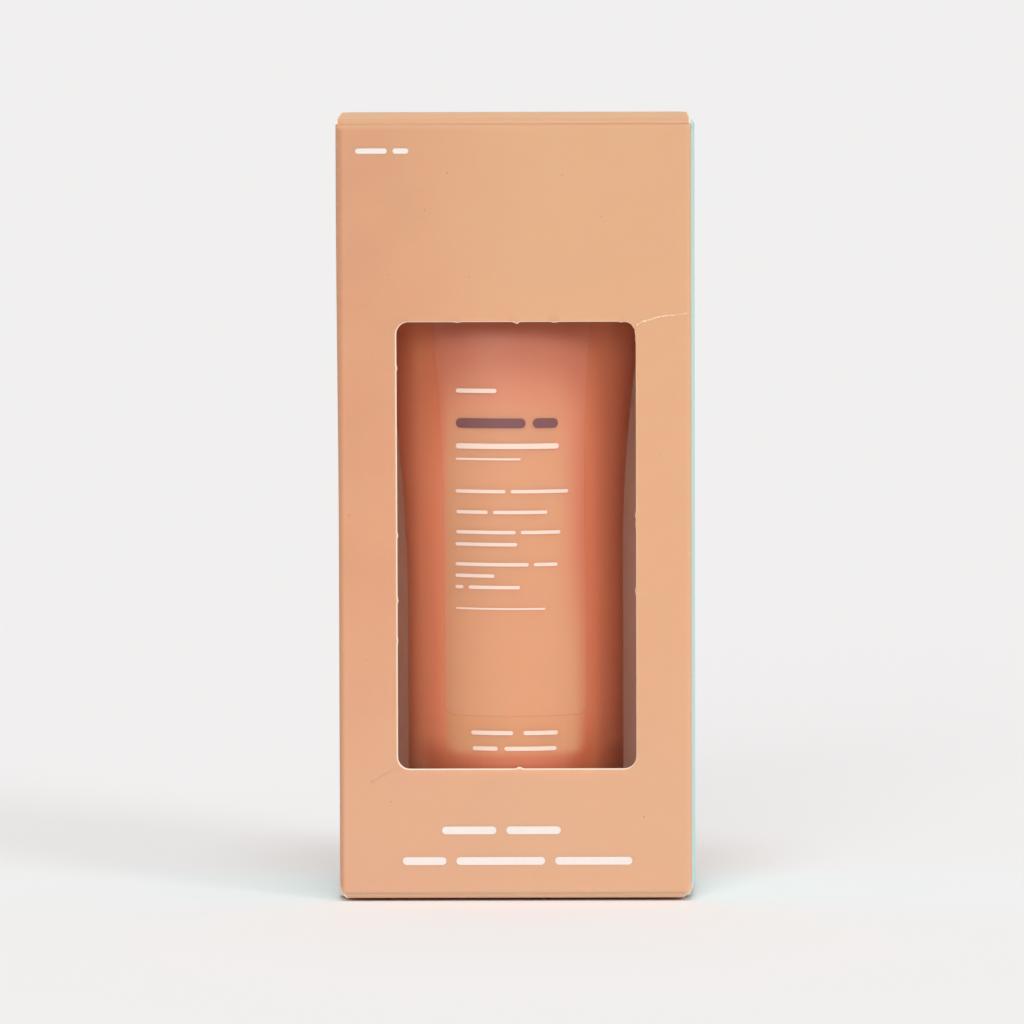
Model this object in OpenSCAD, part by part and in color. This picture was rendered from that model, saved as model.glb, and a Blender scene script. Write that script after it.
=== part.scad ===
// Squeeze tube of sunscreen standing cap down in a windowed tuck-end carton.
// Millimetres. Origin: bottom centre of the carton. +Z up, the windowed front faces -Y.

/* [Tube] */
// Outer diameter of the round lower end of the tube
tube_d = 30; // [24:0.5:40]
// Wall of the squeezable sleeve
sleeve_wall = 0.5; // [0.3:0.05:0.8]
// Length of the sleeve from shoulder to the end of the crimp
sleeve_l = 88.5; // [80:0.5:120]
// Height of the sealed crimp at the flat end
crimp_h = 5; // [3:0.5:8]
// Thickness of the sealed crimp
crimp_t = 1; // [0.7:0.1:1.4]
// Height of the round stretch before the tube starts to flatten
round_h = 21.2; // [14:0.2:40]
// Power of the curve by which the tube widens toward the crimp
flare_power = 2.15; // [1.4:0.05:2.6]
// Sideways place of the tube's foot in the carton
tube_shift = 0.3; // [0:0.05:0.5]
// How far the flat end leans back to the other side
tube_lean = 0.65; // [0:0.05:0.8]
// Radius of the shoulder's outer corner
shoulder_r = 3.5; // [2:0.1:5]
// Wall of the moulded shoulder
shoulder_wall = 1.3; // [0.8:0.1:2]
// Height of the skirt that the sleeve is sealed to
skirt_h = 3; // [2:0.5:5]
// Depth of cream above the shoulder
cream_h = 62; // [30:0.5:64]

/* [Neck and cap] */
// Outer radius of the neck
neck_r = 6.5; // [5:0.1:7]
// Wall of the neck
neck_wall = 1.4; // [1:0.1:2]
// Length of the neck below the shoulder
neck_l = 10.4; // [9:0.1:10.8]
// Radius of the outlet hole
outlet_r = 1.8; // [1:0.1:2.5]
// How far each thread ridge stands out
thread_depth = 0.7; // [0.4:0.05:0.8]
// Distance between two thread ridges
thread_pitch = 2.4; // [2.2:0.1:3]
// Running clearance between neck and cap
thread_gap = 0.25; // [0.15:0.05:0.3]
// Thickness of the foil seal over the outlet
foil_t = 0.1; // [0.05:0.01:0.2]
// Outer diameter of the cap
cap_d = 22; // [20:0.5:23]
// Least air between the cap and a closed tuck flap
cap_room = 0.3; // [0.2:0.05:0.6]
// Height of the cap
cap_h = 13.9; // [13.5:0.1:16]
// Wall of the cap
cap_wall = 1.1; // [0.8:0.1:1.4]
// How much narrower the cap is at its closed end, on the radius
cap_draft = 0.5; // [0.2:0.1:1]
// Radius of the finger grooves round the cap
groove_r = 0.35; // [0.2:0.05:0.45]
// Number of finger grooves
groove_count = 36; // [18:2:48]

/* [Label] */
// Thickness of the clear label film
label_t = 0.08; // [0.05:0.01:0.1]
// Height of the label's lower edge above the sleeve's lower edge
label_low = 6.6; // [3:0.2:15]
// Length of the label along the tube
label_l = 61.1; // [40:0.1:64]
// Half angle that the label wraps round the front
label_half_angle = 41.25; // [26.25:7.5:56.25]

/* [Carton] */
// Thickness of the paperboard
board = 0.45; // [0.35:0.05:0.6]
// Outer radius of the creases
crease_r = 0.7; // [0.65:0.05:1]
// Room on each side of the crimp inside the carton
side_room = 0.74; // [0.7:0.02:2]
// Room in front of and behind the tube
depth_room = 0.55; // [0.5:0.05:1.5]
// Room over the crimp, up to the dust flaps
top_room = 0.72; // [0.4:0.01:3]
// Air under the cap, down to the dust flaps
seat_gap = 0.17; // [0.1:0.01:0.3]
// Air between two flaps that lie on each other
flap_gap = 0.08; // [0.05:0.01:0.15]
// Air where a flap meets its crease
hinge_gap = 0.05; // [0.03:0.01:0.1]

/* [Window] */
// Width of the window
window_w = 33.4; // [24:0.2:36]
// Height of the window
window_h = 62.5; // [40:0.5:70]
// Height of the window's lower edge above the floor
window_low = 18.2; // [14:0.2:24]
// Corner radius of the window
window_r = 1.7; // [0.5:0.1:4]
// Sideways place of the window
window_shift = 0.3; // [0:0.05:0.5]

/* [Flaps] */
// Length of the tuck flaps
tuck_l = 11; // [8:0.5:11]
// Inward lean of a closed tuck flap
tuck_lean_deg = 15; // [14.5:0.5:17]
// Air between a closed tuck flap and the back panel
tuck_gap = 0.15; // [0.1:0.01:0.2]
// Corner radius of the tuck flaps
tuck_r = 6; // [2:0.5:7]
// Reach of the dust flaps over the carton
dust_reach = 16; // [10:0.5:16]
// Width of the glue flap
glue_w = 12; // [8:0.5:13]
// Distance of the glue flap's ends from the lids
glue_end = 3; // [2:0.5:6]

/* [Hidden] */
$fn = 64;
cut = 1;

peach = [0.91, 0.68, 0.54];
mint = [0.76, 0.86, 0.84];
inner_board = [0.85, 0.80, 0.76];
terracotta = [0.80, 0.50, 0.37];
white_cream = [0.98, 0.96, 0.90];

// The carton is cut to fit the tube, in steps that a cutting die can hold
cut_step = 0.02;
girth = PI * tube_d;
flat_w = girth / 2;
carton_w = cut_step * round((flat_w + 2 * (board + side_room)) / cut_step);
tuck_reach = tuck_gap + tuck_l * sin(tuck_lean_deg) + board * cos(tuck_lean_deg);
half_depth = max(tube_d / 2 + depth_room, cap_d / 2 + cap_room + tuck_reach);
carton_d = 2 * (board + half_depth);
seat_z = 2 * board + flap_gap + seat_gap;
cap_gap = thread_gap;
shoulder_z = seat_z + cap_h + cap_gap;
sleeve_z = shoulder_z + shoulder_r;
crimp_top = sleeve_z + sleeve_l;
crimp_z = crimp_top - crimp_h;
flare_z = sleeve_z + round_h;
label_z = sleeve_z + label_low;
carton_h = crimp_top + top_room + 2 * board + flap_gap;
front_y = -carton_d / 2;
side_x = carton_w / 2;
dust_top_z = carton_h - board - flap_gap;
dust_low_z = board + flap_gap;

// Skirt of the shoulder, inside the sleeve
skirt_x = tube_d / 2 - sleeve_wall - 2 * hinge_gap;
skirt_wall = shoulder_wall / 2;

// Rows and columns of the soft tube's surface
RINGS = 12;
SIDES = 48;
step_deg = 360 / SIDES;
half_step = step_deg / 2;

function oval_girth(a, b) = PI * (3 * (a + b) - sqrt((3 * a + b) * (a + 3 * b)));
function oval_depth(a, low, high, n) =
    n == 0 ? (low + high) / 2
    : oval_girth(a, (low + high) / 2) < girth ? oval_depth(a, (low + high) / 2, high, n - 1)
    : oval_depth(a, low, (low + high) / 2, n - 1);
function share_at(z) = min(1, max(0, (z - flare_z) / (crimp_z - flare_z)));
function half_w(z) = tube_d / 2 + (flat_w / 2 - tube_d / 2) * pow(share_at(z), flare_power);
function half_d(z) =
    share_at(z) == 0 ? tube_d / 2 : max(crimp_t / 2, oval_depth(half_w(z), 0, tube_d / 2, 24));
function lean_x(z) = tube_shift - tube_lean * share_at(z) * (2 - share_at(z));
function rim(angle, z, inset) = [
    lean_x(z) + (half_w(z) - inset) * cos(angle),
    max(half_d(z) - inset, (crimp_t - sleeve_wall) / 5) * sin(angle),
    z
];
function ring(z, inset) = [for (i = [0:SIDES - 1]) rim(half_step + i * step_deg, z, inset)];
function flare_row(i) = flare_z + (crimp_z - flare_z) * i / RINGS;
function flare_rows(low, high) =
    [for (i = [0:RINGS]) if (flare_row(i) > low && flare_row(i) < high) flare_row(i)];
function downward(rows) = [for (i = [len(rows) - 1:-1:0]) rows[i]];

// Closed skin over a list of rings, from the first ring to the last. A skin that lies on
// another one from outside splits its cells the other way, so that their faces stay parallel
module ring_skin(rings, lies_on = false) {
    count = len(rings[0]);
    last = len(rings) - 1;
    points = [for (one = rings) for (p = one) p];
    walls = [
        for (j = [0:last - 1]) for (i = [0:count - 1])
            for (half = [0, 1])
                let (
                    a = j * count + i,
                    b = (j + 1) * count + i,
                    c = (j + 1) * count + (i + 1) % count,
                    d = j * count + (i + 1) % count
                )
                lies_on ? (half == 0 ? [a, b, d] : [b, c, d]) : (half == 0 ? [a, b, c] : [a, c, d])
    ];
    first_end = [for (i = [0:count - 1]) i];
    last_end = [for (i = [count - 1:-1:0]) last * count + i];
    polyhedron(points, concat(walls, [first_end, last_end]));
}

// Crease in section, with its outer corner toward right or left and up or down. It reaches
// into the board that it is part of: an upright board, or else one that lies flat
module crease_section(right, up, upright) {
    rotate(right ? (up ? 0 : 270) : (up ? 90 : 180))
        difference() {
            intersection() {
                circle(crease_r);
                square(crease_r);
            }
            circle(crease_r - board);
        }
    if (upright)
        translate([right ? crease_r - board : -crease_r, up ? -crease_r : 0])
            square([board, crease_r]);
    else
        translate([right ? -crease_r : 0, up ? crease_r - board : -crease_r])
            square([crease_r, board]);
}

// Crease along x: stands in the corner between a vertical front or back and a lid
module crease_along_x(length, back_side, top_side, upright) {
    rotate([90, 0, 90])
        linear_extrude(length, center = true)
            crease_section(back_side, top_side, upright);
}

// Crease along y: stands in the corner between a side panel and a dust flap
module crease_along_y(length, right_side, top_side) {
    rotate([90, 0, 0])
        linear_extrude(length, center = true)
            crease_section(right_side, top_side, true);
}

// Crease standing up along z, at an end of the front or the back panel
module crease_along_z(length, right_side, back_side) {
    linear_extrude(length)
        crease_section(right_side, back_side, false);
}

module window_outline() {
    flat_part_w = window_w - 2 * window_r;
    flat_part_h = window_h - 2 * window_r;
    translate([window_shift - window_w / 2, window_low]) {
        translate([window_r, 0]) square([flat_part_w, window_h]);
        translate([0, window_r]) square([window_w, flat_part_h]);
        for (x = [window_r, window_w - window_r], z = [window_r, window_h - window_r])
            translate([x, z]) circle(window_r);
    }
}

module front_panel() {
    plate_w = carton_w - 2 * crease_r;
    plate_h = carton_h - 2 * crease_r;
    color(peach) {
        difference() {
            translate([-plate_w / 2, front_y, crease_r]) cube([plate_w, board, plate_h]);
            translate([0, front_y + board + cut, 0])
                rotate([90, 0, 0]) linear_extrude(board + 2 * cut) window_outline();
        }
        for (end = [-1, 1])
            translate([end * plate_w / 2, front_y + crease_r, crease_r])
                crease_along_z(plate_h, end > 0, false);
        for (z = [crease_r, carton_h - crease_r])
            translate([0, front_y + crease_r, z])
                crease_along_x(plate_w, false, z > crease_r, true);
    }
}

module back_panel() {
    left_x = -side_x + board + crease_r;
    right_x = side_x - crease_r;
    low_z = hinge_gap;
    color(peach) {
        translate([left_x, -front_y - board, low_z])
            cube([right_x - left_x, board, carton_h - 2 * low_z]);
        translate([left_x, -front_y - crease_r, glue_end])
            crease_along_z(carton_h - 2 * glue_end, false, true);
        translate([right_x, -front_y - crease_r, crease_r])
            crease_along_z(carton_h - 2 * crease_r, true, true);
    }
}

// Side panel from y_start to y_end with the two creases that its dust flaps hang on
module side_panel(right_side, y_end) {
    y_start = front_y + crease_r + hinge_gap;
    low_z = dust_low_z + crease_r;
    high_z = dust_top_z - crease_r;
    outer_x = right_side ? side_x - board : -side_x;
    crease_x = right_side ? side_x - crease_r : -side_x + crease_r;
    middle_y = (dust_front_y() + dust_back_y()) / 2;
    translate([outer_x, y_start, low_z]) cube([board, y_end - y_start, high_z - low_z]);
    for (z = [low_z, high_z])
        translate([crease_x, middle_y, z])
            crease_along_y(dust_back_y() - dust_front_y(), right_side, z > low_z);
}

module left_side_panel() {
    color(mint) side_panel(false, -front_y - hinge_gap);
}

module right_side_panel() {
    color(mint) side_panel(true, -front_y - crease_r - hinge_gap);
}

// Glued to the inside of the left side panel, creased to the back panel
module glue_flap() {
    slant = glue_w / 3;
    y_end = -front_y - crease_r;
    glue_line = hinge_gap / 2;
    color(inner_board)
        translate([-side_x + board + glue_line, 0, 0])
            rotate([90, 0, 90])
                linear_extrude(board)
                    polygon([
                        [y_end - hinge_gap, glue_end],
                        [y_end - hinge_gap, carton_h - glue_end],
                        [y_end - glue_w, carton_h - glue_end - slant],
                        [y_end - glue_w, glue_end + slant]
                    ]);
}

// Depth of a lid from the front of the carton to the outer face of its tuck flap
lid_depth = carton_d - board - tuck_gap;
// How far below its crease's outer corner a leaning tuck flap starts
tuck_start = crease_r + 3 * hinge_gap;

// Lid with its rear crease. It closes the end of the carton and turns on its front edge
module lid(top_side) {
    plate_w = carton_w - crease_r;
    z = top_side ? carton_h - board : 0;
    crease_z = top_side ? carton_h - crease_r : crease_r;
    y_start = front_y + crease_r + hinge_gap;
    y_crease = front_y + lid_depth - crease_r;
    translate([-plate_w / 2, y_start, z]) cube([plate_w, y_crease - y_start, board]);
    translate([0, y_crease, crease_z]) crease_along_x(tuck_w(), true, top_side, false);
}

function tuck_w() = carton_w - 2 * (2 * board + side_room);

// Tuck flap with rounded free corners, hung on the outer rear corner of its lid
module tuck_flap(top_side) {
    length = tuck_l - tuck_start;
    lean = top_side ? -tuck_lean_deg : tuck_lean_deg;
    translate([0, front_y + lid_depth, top_side ? carton_h : 0])
        rotate([lean, 0, 0])
            mirror([0, 0, top_side ? 0 : 1])
                translate([-tuck_w() / 2, 0, -tuck_l])
                    rotate([90, 0, 0])
                        linear_extrude(board) {
                            translate([0, tuck_r]) square([tuck_w(), length - tuck_r]);
                            translate([tuck_r, 0]) square([tuck_w() - 2 * tuck_r, tuck_r]);
                            for (x = [tuck_r, tuck_w() - tuck_r])
                                translate([x, tuck_r])
                                    intersection() {
                                        circle(tuck_r);
                                        translate([-tuck_r, -tuck_r]) square([2 * tuck_r, tuck_r]);
                                    }
                        }
}

// A dust flap's front edge is cut back so that it rises at half the lid's pace without touching
dust_front_share = 0.05;
dust_slant_share = 0.24;
dust_back_share = 0.885;
dust_corner_share = 0.15;
function dust_front_y() = front_y + carton_d * dust_front_share;
function dust_back_y() = front_y + carton_d * dust_back_share;

module dust_flap(right_side, top_side) {
    start = crease_r + hinge_gap;
    slant = carton_d * dust_slant_share;
    corner = dust_reach * dust_corner_share;
    translate([right_side ? side_x : -side_x, 0, top_side ? dust_top_z - board : dust_low_z])
        mirror([right_side ? 1 : 0, 0, 0])
            linear_extrude(board)
                polygon([
                    [start, dust_front_y()],
                    [dust_reach, dust_front_y() + slant],
                    [dust_reach, dust_back_y() - corner],
                    [dust_reach - corner, dust_back_y()],
                    [start, dust_back_y()]
                ]);
}

module top_lid() {
    color(peach) lid(true);
}

module top_tuck_flap() {
    color(peach) tuck_flap(true);
}

module top_left_dust_flap() {
    color(mint) dust_flap(false, true);
}

module top_right_dust_flap() {
    color(mint) dust_flap(true, true);
}

module bottom_lid() {
    color(peach) lid(false);
}

module bottom_tuck_flap() {
    color(peach) tuck_flap(false);
}

module bottom_left_dust_flap() {
    color(mint) dust_flap(false, false);
}

module bottom_right_dust_flap() {
    color(mint) dust_flap(true, false);
}

// Sleeve: outer skin down from the crimp, then the inner skin back up
module tube_sleeve() {
    inner_top = crimp_z - crimp_t;
    inner_rows = [for (i = [0:RINGS - 1]) flare_row(i)];
    above_label = concat([label_z + label_l], flare_rows(label_z + label_l, crimp_top));
    below_label = concat([sleeve_z, label_z], flare_rows(label_z, label_z + label_l));
    outer = [for (z = concat([crimp_top], downward(above_label), downward(below_label))) ring(z, 0)];
    inner = concat(
        [ring(sleeve_z, sleeve_wall)],
        [for (z = inner_rows) ring(z, sleeve_wall)],
        [ring(inner_top, sleeve_wall)]
    );
    color(terracotta) ring_skin(concat(outer, inner));
}

// Cream, clear of the sleeve's wall and of the shoulder
module cream_fill() {
    room = sleeve_wall + hinge_gap;
    skirt_room = tube_d / 2 - skirt_x + skirt_wall + hinge_gap;
    low_z = shoulder_z + shoulder_wall + hinge_gap;
    skirt_top = sleeve_z + skirt_h + hinge_gap;
    top_z = low_z + cream_h;
    color(white_cream)
        ring_skin(concat(
            [ring(top_z, room)],
            [for (z = downward(flare_rows(skirt_top, top_z))) ring(z, room)],
            [ring(skirt_top, room), ring(skirt_top - hinge_gap, skirt_room)],
            [ring(sleeve_z, skirt_room), ring(low_z, shoulder_r + room)]
        ));
}

// Clear film on the front of the sleeve, between its own two edges
module front_label() {
    high = label_z + label_l;
    steps = round(2 * label_half_angle / step_deg);
    rows = concat([label_z], flare_rows(label_z, high), [high]);
    film = [
        for (z = rows) concat(
            [for (i = [0:steps]) rim(270 - label_half_angle + i * step_deg, z, -hinge_gap / 2)],
            [for (i = [steps:-1:0]) rim(270 - label_half_angle + i * step_deg, z,
                                        -hinge_gap / 2 - label_t)]
        )
    ];
    color([1, 1, 1, 0.3]) ring_skin(film, true);
}

// Ridges on the neck and in the cap, half a pitch apart, so that each locks behind the other
ridge_half = (thread_pitch - 2 * thread_gap) / 4;
function ridge_z(i) = shoulder_z - thread_pitch * (i + 1);
collar_r = neck_r + thread_depth + thread_gap;

module ridge(radius, out, z) {
    root = out > 0 ? -thread_gap : thread_gap;
    shape = [
        [root, -ridge_half], [0, -ridge_half], [out, -ridge_half / 2],
        [out, ridge_half / 2], [0, ridge_half], [root, ridge_half]
    ];
    translate([radius, z])
        polygon(out > 0 ? shape : [for (i = [len(shape) - 1:-1:0]) shape[i]]);
}

module tube_shoulder() {
    corner_x = tube_d / 2 - shoulder_r;
    tip_z = shoulder_z - neck_l;
    color(terracotta)
        translate([tube_shift, 0, 0])
            rotate_extrude() {
                difference() {
                    intersection() {
                        translate([corner_x, sleeve_z - hinge_gap]) circle(shoulder_r);
                        translate([corner_x, shoulder_z - hinge_gap]) square(shoulder_r);
                    }
                    translate([corner_x, sleeve_z]) circle(shoulder_r - shoulder_wall);
                }
                translate([skirt_x - skirt_wall, sleeve_z - shoulder_r / 2])
                    square([skirt_wall, shoulder_r / 2 + skirt_h]);
                translate([neck_r - neck_wall, shoulder_z - hinge_gap])
                    square([corner_x - neck_r + neck_wall, shoulder_wall]);
                translate([neck_r - neck_wall, tip_z]) square([neck_wall, neck_l]);
                translate([outlet_r, tip_z]) square([neck_r - outlet_r, neck_wall]);
                for (i = [0:2]) ridge(neck_r, thread_depth, ridge_z(i));
            }
}

module foil_seal() {
    color("silver")
        translate([tube_shift, 0, shoulder_z - neck_l - foil_t])
            cylinder(h = foil_t, r = neck_r - hinge_gap);
}

module screw_cap() {
    cap_r = cap_d / 2;
    rim_z = seat_z + cap_h;
    floor_z = seat_z + cap_wall;
    root_z = seat_z + cap_wall / 2;
    grip_z = seat_z + 2 * cap_wall;
    collar_top = rim_z - cap_wall;
    land_r = outlet_r + cap_wall;
    land_top = shoulder_z - neck_l - foil_t - thread_gap;
    color(terracotta)
        translate([tube_shift, 0, 0])
            difference() {
                rotate_extrude() {
                    polygon([
                        [0, seat_z], [cap_r - cap_draft - cap_wall / 2, seat_z],
                        [cap_r - cap_draft, seat_z + cap_wall / 2], [cap_r, grip_z],
                        [cap_r, rim_z], [cap_r - cap_wall, rim_z],
                        [cap_r - cap_wall, grip_z], [cap_r - cap_draft - cap_wall, floor_z],
                        [0, floor_z]
                    ]);
                    translate([collar_r, root_z]) square([cap_wall, collar_top - root_z]);
                    translate([land_r, root_z]) square([cap_wall / 2, land_top - root_z]);
                    for (i = [1:3])
                        ridge(collar_r, -thread_depth, ridge_z(i) + thread_pitch / 2);
                }
                for (i = [0:groove_count - 1])
                    rotate([0, 0, i * 360 / groove_count])
                        translate([cap_r, 0, grip_z + groove_r])
                            cylinder(h = cap_h, r = groove_r);
            }
}

front_panel();
back_panel();
left_side_panel();
right_side_panel();
glue_flap();
top_lid();
top_tuck_flap();
top_left_dust_flap();
top_right_dust_flap();
bottom_lid();
bottom_tuck_flap();
bottom_left_dust_flap();
bottom_right_dust_flap();
tube_sleeve();
tube_shoulder();
foil_seal();
screw_cap();
front_label();
cream_fill();
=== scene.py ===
import math
from random import Random

import bmesh
import bpy
from bpy.props import FloatProperty, FloatVectorProperty, PointerProperty
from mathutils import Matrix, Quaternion, Vector


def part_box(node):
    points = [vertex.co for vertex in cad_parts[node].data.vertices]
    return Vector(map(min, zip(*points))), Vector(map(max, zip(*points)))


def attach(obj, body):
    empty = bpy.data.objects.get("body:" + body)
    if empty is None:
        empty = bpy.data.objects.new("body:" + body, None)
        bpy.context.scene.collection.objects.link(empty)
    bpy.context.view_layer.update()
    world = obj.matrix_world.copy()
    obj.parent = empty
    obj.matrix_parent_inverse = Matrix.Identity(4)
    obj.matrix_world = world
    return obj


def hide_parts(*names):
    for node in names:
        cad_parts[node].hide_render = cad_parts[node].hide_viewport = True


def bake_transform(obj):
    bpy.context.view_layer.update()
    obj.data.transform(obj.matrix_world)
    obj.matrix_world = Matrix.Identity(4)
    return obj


bl_info = {
    "name": "Windowed Carton with Squeeze Tube",
    "version": (1, 0, 0),
    "blender": (4, 5, 0),
    "location": "View3D > Sidebar > Carton",
    "description": "Dresses a tuck-end carton with a window and the squeeze tube that stands in it",
    "category": "Object",
}

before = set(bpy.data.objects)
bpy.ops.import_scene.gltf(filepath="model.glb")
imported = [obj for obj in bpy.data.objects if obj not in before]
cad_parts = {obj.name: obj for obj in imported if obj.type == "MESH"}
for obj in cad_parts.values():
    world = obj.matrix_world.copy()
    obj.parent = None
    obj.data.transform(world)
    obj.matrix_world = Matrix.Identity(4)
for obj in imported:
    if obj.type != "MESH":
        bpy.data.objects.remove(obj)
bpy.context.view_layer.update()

MM = 0.001
ROOT = "carton_and_tube"
QUARTER = math.pi / 2
FRONT_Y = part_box("front_panel")[0].y
BACK_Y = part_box("back_panel")[1].y
SIDE_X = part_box("right_side_panel")[1].x
CARTON_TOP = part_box("top_lid")[1].z
DUST_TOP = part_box("top_left_dust_flap")[1].z
SLEEVE_LOW, SLEEVE_HIGH = (corner.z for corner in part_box("tube_sleeve"))
LABEL_LOW, LABEL_HIGH = (corner.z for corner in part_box("front_label"))
CRIMP_HALF_W = (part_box("tube_sleeve")[1].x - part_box("tube_sleeve")[0].x) / 2
ROUND_R = -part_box("tube_sleeve")[0].y
TUBE_X = sum(corner.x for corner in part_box("screw_cap")) / 2
CRIMP_X = sum(corner.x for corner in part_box("tube_sleeve")) / 2
GLUE_LOW, GLUE_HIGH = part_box("glue_flap")
LID_HALF_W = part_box("top_lid")[1].x
TUCK_HALF_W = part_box("top_tuck_flap")[1].x


def length(name, default, description):
    """A length that a user may change, in metres."""
    return FloatProperty(name=name, description=description, default=default, unit="LENGTH", precision=5)


def angle(name, degrees, description):
    """An angle that a user may change."""
    return FloatProperty(
        name=name, description=description, default=math.radians(degrees), subtype="ANGLE"
    )


def linear(shade):
    """Linear value of one 0 to 255 screen channel."""
    share = shade / 255
    return share / 12.92 if share <= 0.04045 else ((share + 0.055) / 1.055) ** 2.4


def colour(name, rgb, description):
    """A colour that a user may change, given as it looks on a screen."""
    return FloatVectorProperty(
        name=name,
        description=description,
        default=[linear(channel) for channel in rgb],
        subtype="COLOR",
        size=3,
        min=0,
        max=1,
    )


class CartonSettings(bpy.types.PropertyGroup):
    board: length("Board", 0.45 * MM, "Thickness of the paperboard")
    crease_r: length("Crease radius", 0.7 * MM, "Outer radius of a folded crease")
    window_w: length("Window width", 33.4 * MM, "Width of the window")
    window_h: length("Window height", 62.5 * MM, "Height of the window")
    window_low: length("Window height above floor", 18.2 * MM, "Height of the window's lower edge")
    window_r: length("Window corner", 1.7 * MM, "Corner radius of the window")
    window_x: length("Window place", 0.3 * MM, "Sideways place of the window's middle")
    cut_bevel: length("Cut edge", 0.11 * MM, "Width of the pale line where the window was cut")
    right_bow: length("Right bow", 0.66 * MM, "How far the right side bows out at its middle")
    left_bow: length("Left bow", 0.08 * MM, "How far the left side bows out at its middle")
    draw_in: length("Draw-in", 0.25 * MM, "How far the left edge leans inward toward its foot")
    top_cut: length("Top corner softness", 0.12 * MM, "Height over which an upper corner rounds off")
    foot_cut: length("Foot corner softness", 1.5 * MM, "Height over which a lower corner rounds off")
    raw_w: length("Raw edge", 0.2 * MM, "Width of the bare board along the lid's cut edges")
    foot_raw_w: length("Lower right raw edge", 0.06 * MM, "The same at the lower lid's right edge")
    tuck_l: length("Tuck length", 11 * MM, "Length of a tuck flap")
    tuck_r: length("Tuck corner", 6 * MM, "Corner radius of a tuck flap")
    tuck_lean: angle("Tuck lean", 15, "How far a closed tuck flap leans inward")
    dust_reach: length("Dust flap reach", 16 * MM, "How far a dust flap reaches over the carton")
    dust_slant: length("Dust flap slant", 7.68 * MM, "How far a dust flap's front edge slants back")
    dust_corner: length("Dust flap corner", 2.4 * MM, "Size of a dust flap's cut rear corner")
    peach: colour("Peach print", (223, 173, 136), "Printed colour of front, back and lids")
    mint: colour("Mint print", (190, 229, 222), "Printed colour of the sides and dust flaps")
    inside: colour("Inside", (247, 213, 202), "Colour of the board's inner face")
    ink: colour("Carton print", (234, 224, 218), "Colour of the carton's printed lines")
    raw: colour("Cut board", (252, 226, 203), "Colour of a cut edge of the board")


class TubeSettings(bpy.types.PropertyGroup):
    round_h: length("Round height", 21.2 * MM, "Height of the stretch that stays round")
    crimp_h: length("Crimp height", 5 * MM, "Height of the sealed crimp")
    crimp_t: length("Crimp thickness", 1 * MM, "Thickness of the sealed crimp")
    flare: FloatProperty(name="Flare", description="Power of the widening curve", default=2.15)
    wall: length("Wall", 0.5 * MM, "Wall of the squeezable sleeve")
    foot_h: length("Foot round height", 1.8 * MM, "Height over which the tube's foot rounds in")
    foot_w: length("Foot round width", 2.2 * MM, "How far the tube's foot rounds in")
    bulge: length("Left bulge", 0.42 * MM, "How far the filled tube swells to its left")
    shoulder_wall: length("Shoulder wall", 1.3 * MM, "Wall of the moulded shoulder")
    neck_r: length("Neck radius", 6.5 * MM, "Outer radius of the neck")
    neck_wall: length("Neck wall", 1.4 * MM, "Wall of the neck")
    outlet_r: length("Outlet radius", 1.8 * MM, "Radius of the outlet hole")
    ridge_out: length("Ridge", 0.7 * MM, "How far a thread ridge stands out")
    ridge_pitch: length("Ridge pitch", 2.4 * MM, "Distance between two thread ridges")
    label_lift: length("Film lift", 0.07 * MM, "How far the clear film lies above the sleeve")
    label_half: angle("Film half angle", 41.25, "Half of the angle that the film wraps")
    cream_h: length("Cream depth", 62 * MM, "Depth of cream above the shoulder")
    terracotta: colour("Plastic", (236, 147, 109), "Colour of the tube's plastic")
    # The Panel colour is a painted sheen: the tube's front made lighter where it would catch a broad
    # reflection
    panel: colour("Panel", (219, 155, 112), "Colour of the soft lighter panel on the front")
    cap: colour("Cap", (228, 143, 107), "Colour of the screw cap")
    cream: colour("Cream", (250, 246, 236), "Colour of the sun cream")
    pale_print: colour("Pale print", (240, 212, 196), "Colour of the tube's pale printed lines")
    dark_print: colour("Dark print", (118, 70, 72), "Colour of the dark printed line")


class StageSettings(bpy.types.PropertyGroup):
    distance: length("Camera distance", 1391 * MM, "From the camera to the middle of the front")
    azimuth: angle("Camera azimuth", 0.3, "How far the camera stands to the right")
    elevation: angle("Camera elevation", 4.1, "How far the camera looks down")
    roll: angle("Camera roll", -0.15, "How far the camera leans")
    lens: FloatProperty(name="Lens", description="Focal length in millimetres", default=350.6)
    floor: colour("Floor", (243, 242, 242), "Colour of the floor and backdrop")


def carton():
    """Sizes and colours of the carton."""
    return bpy.context.scene.carton_settings


def tube():
    """Sizes and colours of the tube."""
    return bpy.context.scene.tube_settings


def arithmetic(operation):
    """A Math node's operation as a pair of methods, with the value on its left or its right."""
    return (
        lambda self, other: self.shader.math(operation, self, other),
        lambda self, other: self.shader.math(operation, other, self),
    )


class Value:
    """An output socket that Python's arithmetic extends with Math nodes."""

    __add__, __radd__ = arithmetic("ADD")
    __sub__, __rsub__ = arithmetic("SUBTRACT")
    __mul__, __rmul__ = arithmetic("MULTIPLY")
    __truediv__, __rtruediv__ = arithmetic("DIVIDE")

    def __init__(self, shader, socket):
        self.shader = shader
        self.socket = socket


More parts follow.
